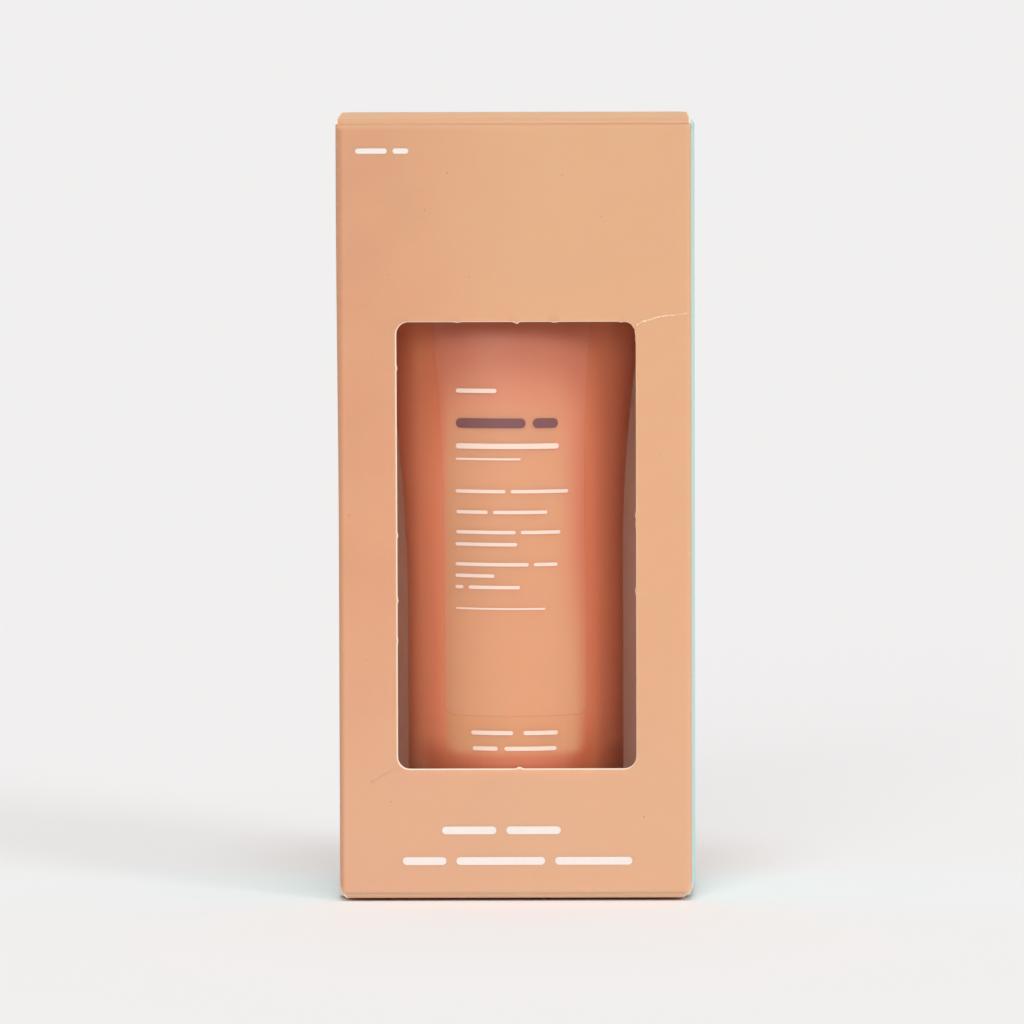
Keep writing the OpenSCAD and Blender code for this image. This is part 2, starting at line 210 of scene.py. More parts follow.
class Shader:
    """One material's nodes, made by the node method and by arithmetic on their values."""

    def __init__(self, name):
        self.material = bpy.data.materials.new(name)
        self.material.use_nodes = True
        self.tree = self.material.node_tree
        self.tree.nodes.clear()

    def node(self, kind, settings=None, values=None, output=0):
        """Adds a node, sets it up, fills or links its sockets and returns one output."""
        made = self.tree.nodes.new(kind)
        for key, setting in (settings or {}).items():
            setattr(made, key, setting)
        for key, value in (values or {}).items():
            if isinstance(value, Value):
                self.tree.links.new(value.socket, made.inputs[key])
            else:
                made.inputs[key].default_value = value
        return Value(self, made.outputs[output]) if made.outputs else made

    def math(self, operation, first, second=0.0):
        return self.node("ShaderNodeMath", {"operation": operation}, {0: first, 1: second})

    def clamped(self, value):
        """The value kept between 0 and 1."""
        return self.node("ShaderNodeMath", {"operation": "ADD", "use_clamp": True}, {0: value, 1: 0.0})

    def step(self, value, start, end):
        """Smooth rise from 0 at start to 1 at end."""
        return self.node(
            "ShaderNodeMapRange",
            {"interpolation_type": "SMOOTHSTEP"},
            {"Value": value, "From Min": start, "From Max": end, "To Min": 0.0, "To Max": 1.0},
        )

    def mix(self, first, second, factor):
        """Colour between first and second."""
        return self.node(
            "ShaderNodeMix", {"data_type": "RGBA"}, {0: factor, 6: first, 7: second}, output=2
        )

    def place(self):
        """The point in the object's frame, as a vector value."""
        return self.node("ShaderNodeTexCoord", output=3)

    def axes(self, place):
        """The x, y and z values of a vector."""
        split = self.tree.nodes.new("ShaderNodeSeparateXYZ")
        self.tree.links.new(place.socket, split.inputs[0])
        return [Value(self, socket) for socket in split.outputs]

    def stretched(self, place, scale):
        """The point scaled along each axis, for grain that runs one way."""
        return self.node(
            "ShaderNodeVectorMath", {"operation": "MULTIPLY"}, {0: place, 1: scale}
        )

    def noise(self, place, size, detail=3.0, rough=0.55):
        """Noise whose features are about one size wide."""
        return self.node(
            "ShaderNodeTexNoise",
            {"noise_dimensions": "3D"},
            {"Vector": place, "Scale": 1 / size, "Detail": detail, "Roughness": rough},
        )

    def bump(self, height, distance, strength=0.5, below=None):
        """Small relief from a height, laid over the relief below it."""
        values = {"Height": height, "Distance": distance, "Strength": strength}
        if below:
            values["Normal"] = below
        return self.node("ShaderNodeBump", None, values)

    def from_line(self, x, z, start, end):
        """Distance from the line between two points of the front, in metres."""
        dx, dz = end[0] - start[0], end[1] - start[1]
        along = self.clamped(((x - start[0]) * dx + (z - start[1]) * dz) / (dx * dx + dz * dz))
        off_x = x - start[0] - along * dx
        off_z = z - start[1] - along * dz
        return self.math("SQRT", off_x * off_x + off_z * off_z)

    def finish(self, values):
        """Closes the tree with a Principled shader and gives back the material."""
        surface = self.node("ShaderNodeBsdfPrincipled", None, values)
        self.node("ShaderNodeOutputMaterial", None, {"Surface": surface})
        return self.material


def rgba(rgb, gain=1.0):
    """A colour with full alpha, made lighter or darker."""
    return (*(min(1.0, channel * gain) for channel in rgb), 1.0)


# Bends that were pressed into the front: from, to, in millimetres of the front face
DENT_LINES = [((-16.3, 18.1), (-18.6, 16.9)), ((-18.6, 16.9), (-20.0, 16.0))]
DENT_BAND = (0.05 * MM, 0.5 * MM)
FIBRE_STRETCH = (1.0, 1.0, 0.28)
# Painted shade that darkens the print toward the carton's left, painted light that pales it toward its
# foot, and where they begin and end
LEFT_SHADE_SHARES, LEFT_SHADE_END = (0.91, 0.83, 0.85), 0.2 * SIDE_X
# Painted light: the print is paler and less warm toward the foot, where light comes back up from the
# floor
FOOT_LIGHT_SHARES, MINT_FOOT_LIGHT_SHARES = (1.0, 1.02, 1.15), (1.0, 1.0, 1.03)
FOOT_LIGHT_BAND, FOOT_LIGHT_COAT = (50 * MM, 5 * MM), 0.8
# Painted light and shade round the lid's crease: painted light below it against the shade line there,
# painted shade on its bend against its highlight, and a warmer painted tone on the lid against its pale
# sheen
UNDER_PAINTED_LIGHT_SHARES, BEND_PAINTED_SHADE_SHARES, LID_PAINTED_TONE_SHARES = (1.14, 1.04, 1.04), (0.93, 0.87, 0.84), (1.07, 0.97, 0.9)
# Where those tones begin and end, measured up from the carton's top or back from its front
UNDER_RISE, UNDER_FALL = (-1.7 * MM, -0.75 * MM), (-0.65 * MM, -0.4 * MM)
BEND_BAND, LID_BAND, LID_BACK = (-0.5 * MM, -0.25 * MM), (-0.3 * MM, -0.1 * MM), (0.6 * MM, 1 * MM)
ON_FRONT = (0.1 * MM, 0.4 * MM)
# The left crease's painted shade, the edges that are rubbed, and how much of each shows
LEFT_CREASE_SHADE_ACROSS, LEFT_CREASE_SHADE_BACK, LEFT_CREASE_SHADE_COAT = (0.5 * MM, 1.15 * MM), (0.4 * MM, 0.7 * MM), 0.6
RUBBED_BAND, RUBBED_COAT = (0.15 * MM, 0.55 * MM), 0.12
CLOUD_COAT, FIBRE_COAT = 0.2, 0.16

# Thin board lets a little warm light through
GLOW_THROUGH = {
    "Subsurface Weight": 0.7,
    "Subsurface Radius": (1.0, 0.72, 0.68),
    "Subsurface Scale": 1.3 * MM,
}


def toned(rgb, shares):
    """A colour with each channel taken at its share."""
    return [channel * share for channel, share in zip(rgb, shares)]


def dents(shader, x, z, off_front):
    """1 along the bends that were pressed into the front and 0 away from them."""
    dented = None
    for start, end in DENT_LINES:
        away = shader.from_line(x, z, [v * MM for v in start], [v * MM for v in end])
        line = 1 - shader.step(away, *DENT_BAND)
        dented = line if dented is None else shader.math("MAXIMUM", dented, line)
    return dented * (1 - shader.step(off_front, *ON_FRONT))


def printed_board(name, print_colour, foot_light_shares):
    """Matt coated paperboard: a slightly uneven print, fine fibres and rubbed creases, with painted
    shade toward its left, along its left crease and on the lid's crease, and painted light at its foot
    and under that crease.
    """
    shader = Shader(name)
    place = shader.place()
    x, y, z = shader.axes(place)
    cloud = shader.noise(place, size=14 * MM, detail=2.0)
    fibre = shader.noise(shader.stretched(place, FIBRE_STRETCH), size=0.22 * MM, detail=4.0)
    speck = shader.noise(place, size=0.6 * MM, detail=2.0, rough=0.7)
    left = toned(print_colour, LEFT_SHADE_SHARES)
    uneven = shader.step(cloud, start=0.3, end=0.7)
    off_side = SIDE_X - shader.math("ABSOLUTE", x)
    off_front = y - FRONT_Y
    rise = z - CARTON_TOP
    # Painted shade along the left crease, which turns away from the light
    by_crease = 1 - shader.step(x + SIDE_X, *LEFT_CREASE_SHADE_ACROSS)
    handled = by_crease * (1 - shader.step(off_front, *LEFT_CREASE_SHADE_BACK))
    on_face = 1 - shader.step(shader.math("ABSOLUTE", off_front), *ON_FRONT)
    on_lid = shader.step(off_front, *LID_BACK)
    below = shader.step(rise, *UNDER_RISE) * (1 - shader.step(rise, *UNDER_FALL))
    corner = shader.math("MAXIMUM", off_side, off_front)
    rubbed = (1 - shader.step(corner, *RUBBED_BAND)) * shader.step(speck, start=0.5, end=0.68)
    # Painted shade: the print darkens from the carton's right toward its left, away from the light
    paint = shader.mix(rgba(left), rgba(print_colour), shader.step(x, -SIDE_X, LEFT_SHADE_END))
    for coat, share in (
        # Painted light toward the foot
        (rgba(toned(print_colour, foot_light_shares)), shader.step(z, *FOOT_LIGHT_BAND) * FOOT_LIGHT_COAT),
        (rgba(print_colour, gain=1.08), uneven * CLOUD_COAT),
        (rgba(left, gain=0.7), handled * LEFT_CREASE_SHADE_COAT),
        # Painted light under the lid's crease, painted shade on its bend and a warmer painted tone on
        # the lid
        (rgba(toned(print_colour, UNDER_PAINTED_LIGHT_SHARES)), below * on_face),
        (rgba(toned(print_colour, BEND_PAINTED_SHADE_SHARES)), shader.step(rise, *BEND_BAND) * (1 - on_lid)),
        (rgba(toned(print_colour, LID_PAINTED_TONE_SHARES)), shader.step(rise, *LID_BAND) * on_lid),
        (rgba(print_colour, gain=1.12), shader.step(fibre, start=0.52, end=0.8) * FIBRE_COAT),
        (rgba(carton().raw), shader.clamped(rubbed * RUBBED_COAT)),
    ):
        paint = shader.mix(paint, coat, share)
    dent = shader.bump(dents(shader, x, z, off_front) * -1, distance=0.08 * MM, strength=0.9)
    waves = shader.bump(cloud, distance=0.09 * MM, strength=0.55, below=dent)
    return shader.finish({
        "Base Color": paint,
        "Roughness": 0.56 + uneven * 0.08,
        "Normal": shader.bump(fibre, distance=0.012 * MM, below=waves),
        "Specular IOR Level": 0.14,
        **GLOW_THROUGH,
    })


def plain_board(name, board_colour):
    """Uncoated paperboard with soft fibres that lie every way."""
    shader = Shader(name)
    place = shader.place()
    cloud = shader.noise(place, size=5 * MM)
    fibre = shader.noise(place, size=0.25 * MM, detail=5.0, rough=0.65)
    tone = shader.clamped(cloud * 0.6 + fibre * 0.4)
    return shader.finish({
        "Base Color": shader.mix(rgba(board_colour, gain=0.88), rgba(board_colour, gain=1.1), tone),
        "Roughness": 0.78 + fibre * 0.15,
        "Normal": shader.bump(fibre, distance=0.03 * MM, strength=0.6),
        **GLOW_THROUGH,
    })


# The painted sheen, a lighter panel on the tube's front: half width, middle x, foot, head and softness
PANEL_HALF_W, PANEL_X, PANEL_LOW, PANEL_HIGH = 10.2 * MM, 0.3 * MM, 19.9 * MM, 78.6 * MM
PANEL_SOFT = 2 * MM
# Where its outline fades, in softnesses, and how much of it is left at its head
PANEL_EDGE, PANEL_AT_HEAD = (0.45 * PANEL_SOFT, 1.25 * PANEL_SOFT), 0.06
# Where it fades toward its head, at its right edge above and below, and round the tube's side
PANEL_HEAD, PANEL_UPWARD = (PANEL_HIGH, PANEL_HIGH - 22 * MM), (30 * MM, 52 * MM)
PANEL_RIGHT_ABOVE, PANEL_RIGHT_BELOW = (5 * MM, 10.4 * MM), (8 * MM, 10.8 * MM)
PANEL_ROUND = (-2 * MM, 0.0)


def painted_sheen_panel(shader, x, y, z):
    """1 on the painted sheen and 0 off it, with soft corners, fading toward its head and right where it
    falls into shade.
    """
    middle, half = (PANEL_LOW + PANEL_HIGH) / 2, (PANEL_HIGH - PANEL_LOW) / 2
    off_x = shader.math("ABSOLUTE", x - PANEL_X) - (PANEL_HALF_W - PANEL_SOFT)
    off_z = shader.math("ABSOLUTE", z - middle) - (half - PANEL_SOFT)
    away_x, away_z = (shader.math("MAXIMUM", off, 0.0) for off in (off_x, off_z))
    away = shader.math("SQRT", away_x * away_x + away_z * away_z)
    near = 1 - shader.step(away, *PANEL_EDGE)
    upward = shader.step(z, *PANEL_UPWARD)
    above, below = shader.step(x, *PANEL_RIGHT_ABOVE), shader.step(x, *PANEL_RIGHT_BELOW)
    fade = 1 - above * upward - below * (1 - upward)
    lower = shader.step(z, *PANEL_HEAD)
    in_front = 1 - shader.step(y, *PANEL_ROUND)
    return near * fade * (PANEL_AT_HEAD + lower * (1 - PANEL_AT_HEAD)) * in_front


# The sleeve's painted shade and painted light, and where each begins and ends
PAINTED_SHADE_SHARES, PAINTED_LIGHT_SHARES = (0.67, 0.41, 0.3), (1.16, 1.3, 1.3)
DEEP_HEAD, DEEP_FOOT, DEEP_LOW_RIGHT = (54 * MM, 80 * MM), (23 * MM, 19 * MM), (27 * MM, 19 * MM)
DEEP_RIGHT, RIGHT_EDGE, PALE_LEFT = (3 * MM, 9 * MM), (9.5 * MM, 14.5 * MM), (-11 * MM, -14.6 * MM)
FLANK_BAND, EDGE_BAND = (8 * MM, 12 * MM), (10.5 * MM, 14 * MM)
# How much of the painted shade shows at the head, right, low right and foot, and how much of it
# is lost at the flanks, edges and left. The painted light loses the last at the head
HEAD_DEPTH, RIGHT_DEPTH, LOW_RIGHT_DEPTH, FOOT_DEPTH = 0.95, 0.5, 0.32, 0.6
FLANK_LOSS, EDGE_LOSS, RIGHT_EDGE_LOSS, LEFT_LOSS = 0.4, 0.35, 0.85, 0.5


def sleeve_paint(shader, place, paint, plastic_colour, sheen_colour):
    """The sleeve's colour with painted shade at its head, foot and right, painted light at its left, and
    a painted sheen on its front.
    """
    x, y, z = shader.axes(place)
    out = shader.math("ABSOLUTE", x)
    # Painted shade below the window's top edge, beside its right edge and low right corner, and at its
    # foot; painted light on the left flank
    upper = shader.step(z, *DEEP_HEAD)
    flank, edge = shader.step(out, *FLANK_BAND), shader.step(out, *EDGE_BAND)
    head = upper * (HEAD_DEPTH - flank * FLANK_LOSS - edge * EDGE_LOSS)
    right = shader.step(x, *DEEP_RIGHT) * (1 - shader.step(x, *RIGHT_EDGE) * RIGHT_EDGE_LOSS)
    side = right * (RIGHT_DEPTH + shader.step(z, *DEEP_LOW_RIGHT) * LOW_RIGHT_DEPTH)
    left = shader.step(x, *PALE_LEFT) * (1 - upper * LEFT_LOSS)
    foot = shader.step(z, *DEEP_FOOT) * (FOOT_DEPTH - left * LEFT_LOSS)
    painted_shade_share = shader.math("MAXIMUM", shader.math("MAXIMUM", side, head), foot)
    paint = shader.mix(paint, rgba(toned(plastic_colour, PAINTED_LIGHT_SHARES)), left)
    paint = shader.mix(paint, rgba(toned(plastic_colour, PAINTED_SHADE_SHARES)), painted_shade_share)
    return shader.mix(paint, rgba(sheen_colour), painted_sheen_panel(shader, x, y, z))


FLOW_STRETCH, SCUFF_STRETCH, FILM_STRETCH = (1.0, 1.0, 0.2), (1.0, 1.0, 0.1), (1.0, 1.0, 0.15)
PLASTIC_ROUGHNESS = 0.44


def tube_plastic(name, plastic_colour, depth, sheen_colour=None):
    """Satin polythene that light enters to a depth: faint flow marks and small scuffs."""
    shader = Shader(name)
    place = shader.place()
    flow = shader.noise(shader.stretched(place, FLOW_STRETCH), size=6 * MM, detail=2.0)
    eggshell = shader.noise(place, size=0.5 * MM)
    scratch = shader.noise(shader.stretched(place, SCUFF_STRETCH), size=0.8 * MM)
    scuff = shader.step(scratch, start=0.62, end=0.75)
    paint = shader.mix(rgba(plastic_colour, gain=0.96), rgba(plastic_colour, gain=1.04), flow)
    # A sleeve gets painted shade, painted light and a painted sheen on its front
    if sheen_colour:
        paint = sleeve_paint(shader, place, paint, plastic_colour, sheen_colour)
    return shader.finish({
        "Base Color": shader.mix(paint, rgba(plastic_colour, gain=1.25), scuff * 0.08),
        "Roughness": PLASTIC_ROUGHNESS + scuff * 0.06 + eggshell * 0.05,
        "Normal": shader.bump(
            eggshell, distance=0.003 * MM, below=shader.bump(flow, distance=0.08 * MM)
        ),
        "Subsurface Weight": 0.75,
        "Subsurface Radius": (1.0, 0.45, 0.3),
        "Subsurface Scale": depth,
        "IOR": 1.5,
    })


def clear_film(name, film_colour, low_alpha, high_alpha):
    """Clear label film: glossy, a little milky, with slow waves where it was laid on."""
    shader = Shader(name)
    place = shader.place()
    waves = shader.noise(shader.stretched(place, FILM_STRETCH), size=3.5 * MM, detail=2.0)
    speck = shader.noise(place, size=0.5 * MM, detail=2.0, rough=0.7)
    dust = shader.step(speck, start=0.6, end=0.75)
    return shader.finish({
        "Base Color": rgba(film_colour),
        "Roughness": 0.16 + waves * 0.12,
        "Alpha": low_alpha + waves * (high_alpha - low_alpha) + dust * 0.02,
        "Normal": shader.bump(waves, distance=0.05 * MM),
    })


def ink(name, ink_colour):
    """A thin coat of screen-printed ink with pinholes."""
    shader = Shader(name)
    place = shader.place()
    body = shader.noise(place, size=0.9 * MM, detail=2.0)
    pinhole = shader.step(shader.noise(place, size=0.16 * MM, detail=2.0), start=0.68, end=0.8)
    paint = shader.mix(rgba(ink_colour, gain=0.95), rgba(ink_colour, gain=1.04), body)
    return shader.finish({
        "Base Color": shader.mix(paint, rgba(ink_colour, gain=0.7), pinhole * 0.35),
        "Roughness": 0.42 + body * 0.1,
        "Normal": shader.bump(body, distance=0.006 * MM),
    })


def foil_metal(name):
    """Thin aluminium seal with pressed-in ripples."""
    shader = Shader(name)
    ripple = shader.noise(shader.place(), size=1.2 * MM)
    return shader.finish({
        "Base Color": rgba((0.86, 0.86, 0.87)),
        "Metallic": 1.0,
        "Roughness": 0.24 + ripple * 0.2,
        "Normal": shader.bump(ripple, distance=0.06 * MM, strength=0.6),
    })


def cream_paste(name, cream_colour):
    """Thick white cream with soft swirls."""
    shader = Shader(name)
    swirl = shader.noise(shader.place(), size=7 * MM)
    return shader.finish({
        "Base Color": shader.mix(rgba(cream_colour, gain=0.96), rgba(cream_colour), swirl),
        "Roughness": 0.35 + swirl * 0.15,
        "Normal": shader.bump(swirl, distance=0.5 * MM),
        "Subsurface Weight": 0.3,
        "Subsurface Radius": (1.0, 0.9, 0.8),
        "Subsurface Scale": 2 * MM,
    })


def floor_paper(name, floor_colour):
    """Seamless studio paper."""
    shader = Shader(name)
    tone = shader.noise(shader.place(), size=60 * MM, detail=2.0)
    return shader.finish({
        "Base Color": shader.mix(rgba(floor_colour, gain=0.995), rgba(floor_colour), tone),
        "Roughness": 0.9 + tone * 0.05,
        "Specular IOR Level": 0.1,
    })


def shared(name, maker, *settings):
    """The material of that name, made on its first use."""
    return bpy.data.materials.get(name) or maker(name, *settings)


def peach_board():
    return shared("peach_printed_board", printed_board, carton().peach, FOOT_LIGHT_SHARES)


def mint_board():
    return shared("mint_printed_board", printed_board, carton().mint, MINT_FOOT_LIGHT_SHARES)


def inner_board():
    return shared("inner_board_face", plain_board, carton().inside)


def cut_board():
    return shared("cut_board_edge", plain_board, carton().raw)


# Material slots of a board piece
OUTER, INNER, CUT = 0, 1, 2


def board_faces(outer):
    """Materials of a board piece: its outer face, its inner face and its cut edges."""
    return [outer, inner_board(), cut_board()]


# How deep light enters the soft sleeve and the moulded plastic
SLEEVE_GLOW, MOULDED_GLOW = 8 * MM, 2 * MM


def squeeze_plastic():
    t = tube()
    return shared("terracotta_squeeze_plastic", tube_plastic, t.terracotta, SLEEVE_GLOW, t.panel)


def moulded_plastic(name, plastic_colour):
    return shared(name, tube_plastic, plastic_colour, MOULDED_GLOW)


# Edges that bend more than this stay sharp. Vertices nearer than the other are joined
SHARP, JOINED = math.radians(38), 0.001 * MM


def solid(name, mesh, materials, body=ROOT, nodes=()):
    """Turns a bmesh into a piece: tidy normals, sharp corners kept, riding on its body."""
    bmesh.ops.remove_doubles(mesh, verts=mesh.verts, dist=JOINED)
    bmesh.ops.recalc_face_normals(mesh, faces=mesh.faces)
    for face in mesh.faces:
        face.smooth = True
    for edge in mesh.edges:
        if len(edge.link_faces) == 2 and edge.calc_face_angle(0.0) > SHARP:
            edge.smooth = False
    data = bpy.data.meshes.new(name)
    mesh.to_mesh(data)
    mesh.free()
    for material in materials:
        data.materials.append(material)
    piece = bpy.data.objects.new(name, data)
    bpy.context.scene.collection.objects.link(piece)
    if body:
        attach(piece, body)
    if nodes:
        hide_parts(*nodes)
    return piece


def quad_rows(mesh, rows, slot=0, closed=False):
    """Faces between rows of vertices. A closed row joins its last vertex to its first."""
    for low, high in zip(rows, rows[1:]):
        count = len(low)
        for i in range(count if closed else count - 1):
            j = (i + 1) % count
            corners = [low[i], low[j], high[j], high[i]]
            if len(set(corners)) == 4:
                mesh.faces.new(corners).material_index = slot


def add_rows(mesh, rows):
    return [[mesh.verts.new(point) for point in row] for row in rows]


def steps(start, end, count):
    """Evenly spaced values from start to end, both included."""
    return [start + (end - start) * i / (count - 1) for i in range(count)]


def straight(start, end, count):
    """Evenly spaced points of the front from start to end, both included."""
    return list(zip(steps(start[0], end[0], count), steps(start[1], end[1], count)))


def round_turns(count):
    """Evenly spaced angles of one full turn."""
    return steps(0, 2 * math.pi, count + 1)[:-1]


def unit(value):
    """The value kept between 0 and 1."""
    return min(1, max(0, value))


def corner_cut(radius, from_end):
    """How far a rounded corner cuts in at a distance from the piece's end."""
    left = max(0, radius - from_end)
    return radius - math.sqrt(max(0, radius ** 2 - left ** 2))


def arc(centre, radius, start, end, count):
    """Points and outward normals along an arc of a section."""
    found = []
    for turn in steps(start, end, count):
        normal = (math.cos(turn), math.sin(turn))
        found.append(((centre[0] + radius * normal[0], centre[1] + radius * normal[1]), normal))
    return found


def board_sheet(mesh, path, spans, place, board, columns, raw=None):
    """Paperboard of even thickness. Its outer face follows path, a list of section points
    with their outward normals, and each row spans from one value to another across it.
    With raw, the widths of two bands of bare board, the outer face's left and right borders
    have a cut edge's material too."""
    outer, inner = [], []
    for (point, normal), (low, high) in zip(path, spans):
        back = [point[k] - normal[k] * board for k in (0, 1)]
        spread = steps(low, high, columns)
        if raw:
            spread = [low, *steps(low + raw[0], high - raw[1], columns - 2), high]
        outer.append([place(*point, across) for across in spread])
        inner.append([place(*back, across) for across in spread])
    outer, inner = add_rows(mesh, outer), add_rows(mesh, inner)
    border = CUT if raw else OUTER
    quad_rows(mesh, [row[:2] for row in outer], border)
    quad_rows(mesh, [row[1:-1] for row in outer], OUTER)
    quad_rows(mesh, [row[-2:] for row in outer], border)
    quad_rows(mesh, inner, INNER)
    for end in (0, -1):
        quad_rows(mesh, [outer[end], inner[end]], CUT)
        quad_rows(mesh, [[row[end] for row in outer], [row[end] for row in inner]], CUT)


# Small tabs that the cutter left on the window's edge: x, z and size in millimetres
WINDOW_NICKS = [
    (0.4, 80.7, 0.36), (-7.9, 80.7, 0.12), (5.7, 80.7, 0.15), (15.0, 80.7, 0.12),
    (0.65, 18.2, 0.34), (-16.4, 74.3, 0.16), (-16.4, 50.9, 0.2), (-16.4, 41.8, 0.2),
    (-16.4, 36.1, 0.13), (17.0, 53.7, 0.2), (17.0, 52.3, 0.12), (17.0, 43.1, 0.2),
    (16.75, 80.0, 0.13), (17.0, 79.2, 0.16), (17.0, 78.3, 0.1),
]
NICK_HALF_W, NICK_TAPER = 0.36 * MM, 0.7
# A nick farther from the window's middle than this share of its width is in an upright edge
UPRIGHT_FROM = 0.49
# Points along a long and a short side of the window, and round a corner between them
LONG_SIDE, SHORT_SIDE, CORNER_STEPS = 150, 84, 7
# How far the cutter's bevel stands off to the left and down and how deep it goes, in bevels,
# and the share of a nick that it follows
BEVEL_LEFT, BEVEL_DOWN, BEVEL_DEEP, BEVEL_NICKS = 0.7, 0.28, 0.6, 0.8
# Width of the narrow ring along the plate's edge, and where the other rings lie
RIM = 0.04 * MM
OUTER_RINGS, INNER_RINGS = (0.04, 0.35, 0.7, 1.0), (1.0, 0.5)
RING_SLOTS = (CUT, CUT, *[OUTER] * 5, CUT, INNER)


def window_loop(grow):
    """Points round the window's outline, let out by grow. Each side has a fixed count."""
    c = carton()
    half, radius = c.window_w / 2 - c.window_r, c.window_r + grow
    low, high = c.window_low + c.window_r, c.window_low + c.window_h - c.window_r
    right, left = c.window_x + half, c.window_x - half
    loop = []
    for start, end, corner, turn, count in (
        ((right + radius, low), (right + radius, high), (right, high), 0, LONG_SIDE),
        ((right, high + radius), (left, high + radius), (left, high), 1, SHORT_SIDE),
        ((left - radius, high), (left - radius, low), (left, low), 2, LONG_SIDE),
        ((left, low - radius), (right, low - radius), (right, low), 3, SHORT_SIDE),
    ):
        bend = arc(corner, radius, turn * QUARTER, (turn + 1) * QUARTER, CORNER_STEPS + 2)
        loop += straight(start, end, count) + [point for point, _ in bend[1:-1]]
    return loop


def plate_loop():
    """Points round the flat plate that pair with the window's. A corner's points coincide."""
    c = carton()
    right, low, high = SIDE_X - c.crease_r, c.crease_r, CARTON_TOP - c.crease_r
    corners = [(right, low), (right, high), (-right, high), (-right, low), (right, low)]
    loop = []
    for start, end, count in zip(corners, corners[1:], (LONG_SIDE, SHORT_SIDE) * 2):
        loop += straight(start, end, count) + [end] * CORNER_STEPS
    return loop


def with_nicks(loop, share):
    """Pulls the window's edge inward where the cutter left a tab."""
    c = carton()
    middle = Vector((c.window_x, c.window_low + c.window_h / 2))
    found = []
    for x, z in loop:
        pull = Vector((0, 0))
        for nick_x, nick_z, size in WINDOW_NICKS:
            away = math.hypot(x - nick_x * MM, z - nick_z * MM) / NICK_HALF_W
            if away < 1:
                upright = abs(nick_x * MM - c.window_x) > c.window_w * UPRIGHT_FROM
                way = (middle.x - x, 0) if upright else (0, middle.y - z)
                pull += Vector(way).normalized() * size * MM * (1 - away) ** NICK_TAPER
        found.append((x + pull.x * share, z + pull.y * share))
    return found


def rings_between(first, second, shares, y):
    """Rings at given shares of the way from one loop of the front to another."""
    return [
        [(a[0] + (b[0] - a[0]) * share, y, a[1] + (b[1] - a[1]) * share) for a, b in zip(first, second)]
        for share in shares
    ]


def front_plate(mesh):
    """Flat front with its window, as rings from the window's inner edge round to the back."""
    c = carton()
    window, plate = window_loop(0), plate_loop()
    left, down = BEVEL_LEFT * c.cut_bevel, BEVEL_DOWN * c.cut_bevel
    let_out = [(x - left, z - down) for x, z in window_loop(c.cut_bevel)]
    inner_y = FRONT_Y + c.board
    nicked = with_nicks(window, 1)
    rings = [
        [(x, inner_y, z) for x, z in nicked],
        [(x, FRONT_Y + c.cut_bevel * BEVEL_DEEP, z) for x, z in nicked],
        [(x, FRONT_Y, z) for x, z in with_nicks(let_out, BEVEL_NICKS)],
    ]
    rim_x, rim_z = SIDE_X - c.crease_r - RIM, (c.crease_r + RIM, CARTON_TOP - c.crease_r - RIM)
    inner_rim = [
        (max(-rim_x, min(rim_x, x)), max(rim_z[0], min(rim_z[1], z))) for x, z in plate
    ]
    rings += rings_between(let_out, inner_rim, OUTER_RINGS, FRONT_Y)
    rings.append([(x, FRONT_Y, z) for x, z in plate])
    rings += rings_between(window, plate, INNER_RINGS, inner_y)
    rows = add_rows(mesh, rings)
    for (low, high), slot in zip(zip(rows, rows[1:]), RING_SLOTS):
        quad_rows(mesh, [low, high], slot, closed=True)
    quad_rows(mesh, [rows[-1], rows[0]], INNER, closed=True)


# Heights between which the left edge comes to lean inward
DRAWN_FROM, DRAWN_TO = 98 * MM, 50 * MM


def draw_in(mesh):
    """Leans the carton's left front edge inward toward its foot."""
    for vert in mesh.verts:
        x, y, z = vert.co
        down = unit((DRAWN_FROM - z) / (DRAWN_FROM - DRAWN_TO))
        left = unit(-2 * x / SIDE_X - 1)
        front = unit((BACK_Y - y) / (BACK_Y - FRONT_Y))
        vert.co.x += carton().draw_in * down * down * (3 - 2 * down) * left * front


def bow_out(mesh, side, flap=False):
    """Bows one side's board out, most at its middle. A flap follows only at its crease."""
    c = carton()
    start, end = (corner.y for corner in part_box(f"{hand(side)}_side_panel"))
    bow = c.left_bow if side < 0 else c.right_bow
    for vert in mesh.verts:
        across = 2 * (vert.co.y - start) / (end - start) - 1
        share = max(0, 1 - (SIDE_X - abs(vert.co.x)) / c.crease_r) if flap else 1
        vert.co.x += side * bow * (1 - across ** 2) * share


def hand(side):
    return "left" if side < 0 else "right"


def upright(a, b, w):
    """The place of a section in x and y whose rows run up the carton."""
    return a, b, w


def crosswise(a, b, w):
    """The place of a section in y and z whose rows run across the carton."""
    return w, a, b


BOARD_CREASE_STEPS = 10


def build_front():
    """Front panel with the two upright creases that lead to the sides."""
    c = carton()
    mesh = bmesh.new()
    front_plate(mesh)
    low, high = c.crease_r, CARTON_TOP - c.crease_r
    for side in (-1, 1):
        centre = (side * (SIDE_X - c.crease_r), FRONT_Y + c.crease_r)
        turn_end = 0 if side > 0 else -math.pi
        path = arc(centre, c.crease_r, -QUARTER, turn_end, BOARD_CREASE_STEPS)
        bends = [1 - math.sqrt(max(0, 1 - normal[0] ** 2)) for _, normal in path]
        spans = [(low + c.foot_cut * bend, high - c.top_cut * bend) for bend in bends]
        board_sheet(mesh, path, spans, upright, c.board, LONG_SIDE)
    seam = SIDE_X - c.crease_r
    inner_walls = [
        face for face in mesh.faces
        if all(abs(abs(vert.co.x) - seam) < RIM / 4 for vert in face.verts)
    ]
    bmesh.ops.delete(mesh, geom=inner_walls, context="FACES_ONLY")
    draw_in(mesh)
    faces = board_faces(peach_board())
    solid("carton_front", mesh, faces, nodes=["front_panel"])


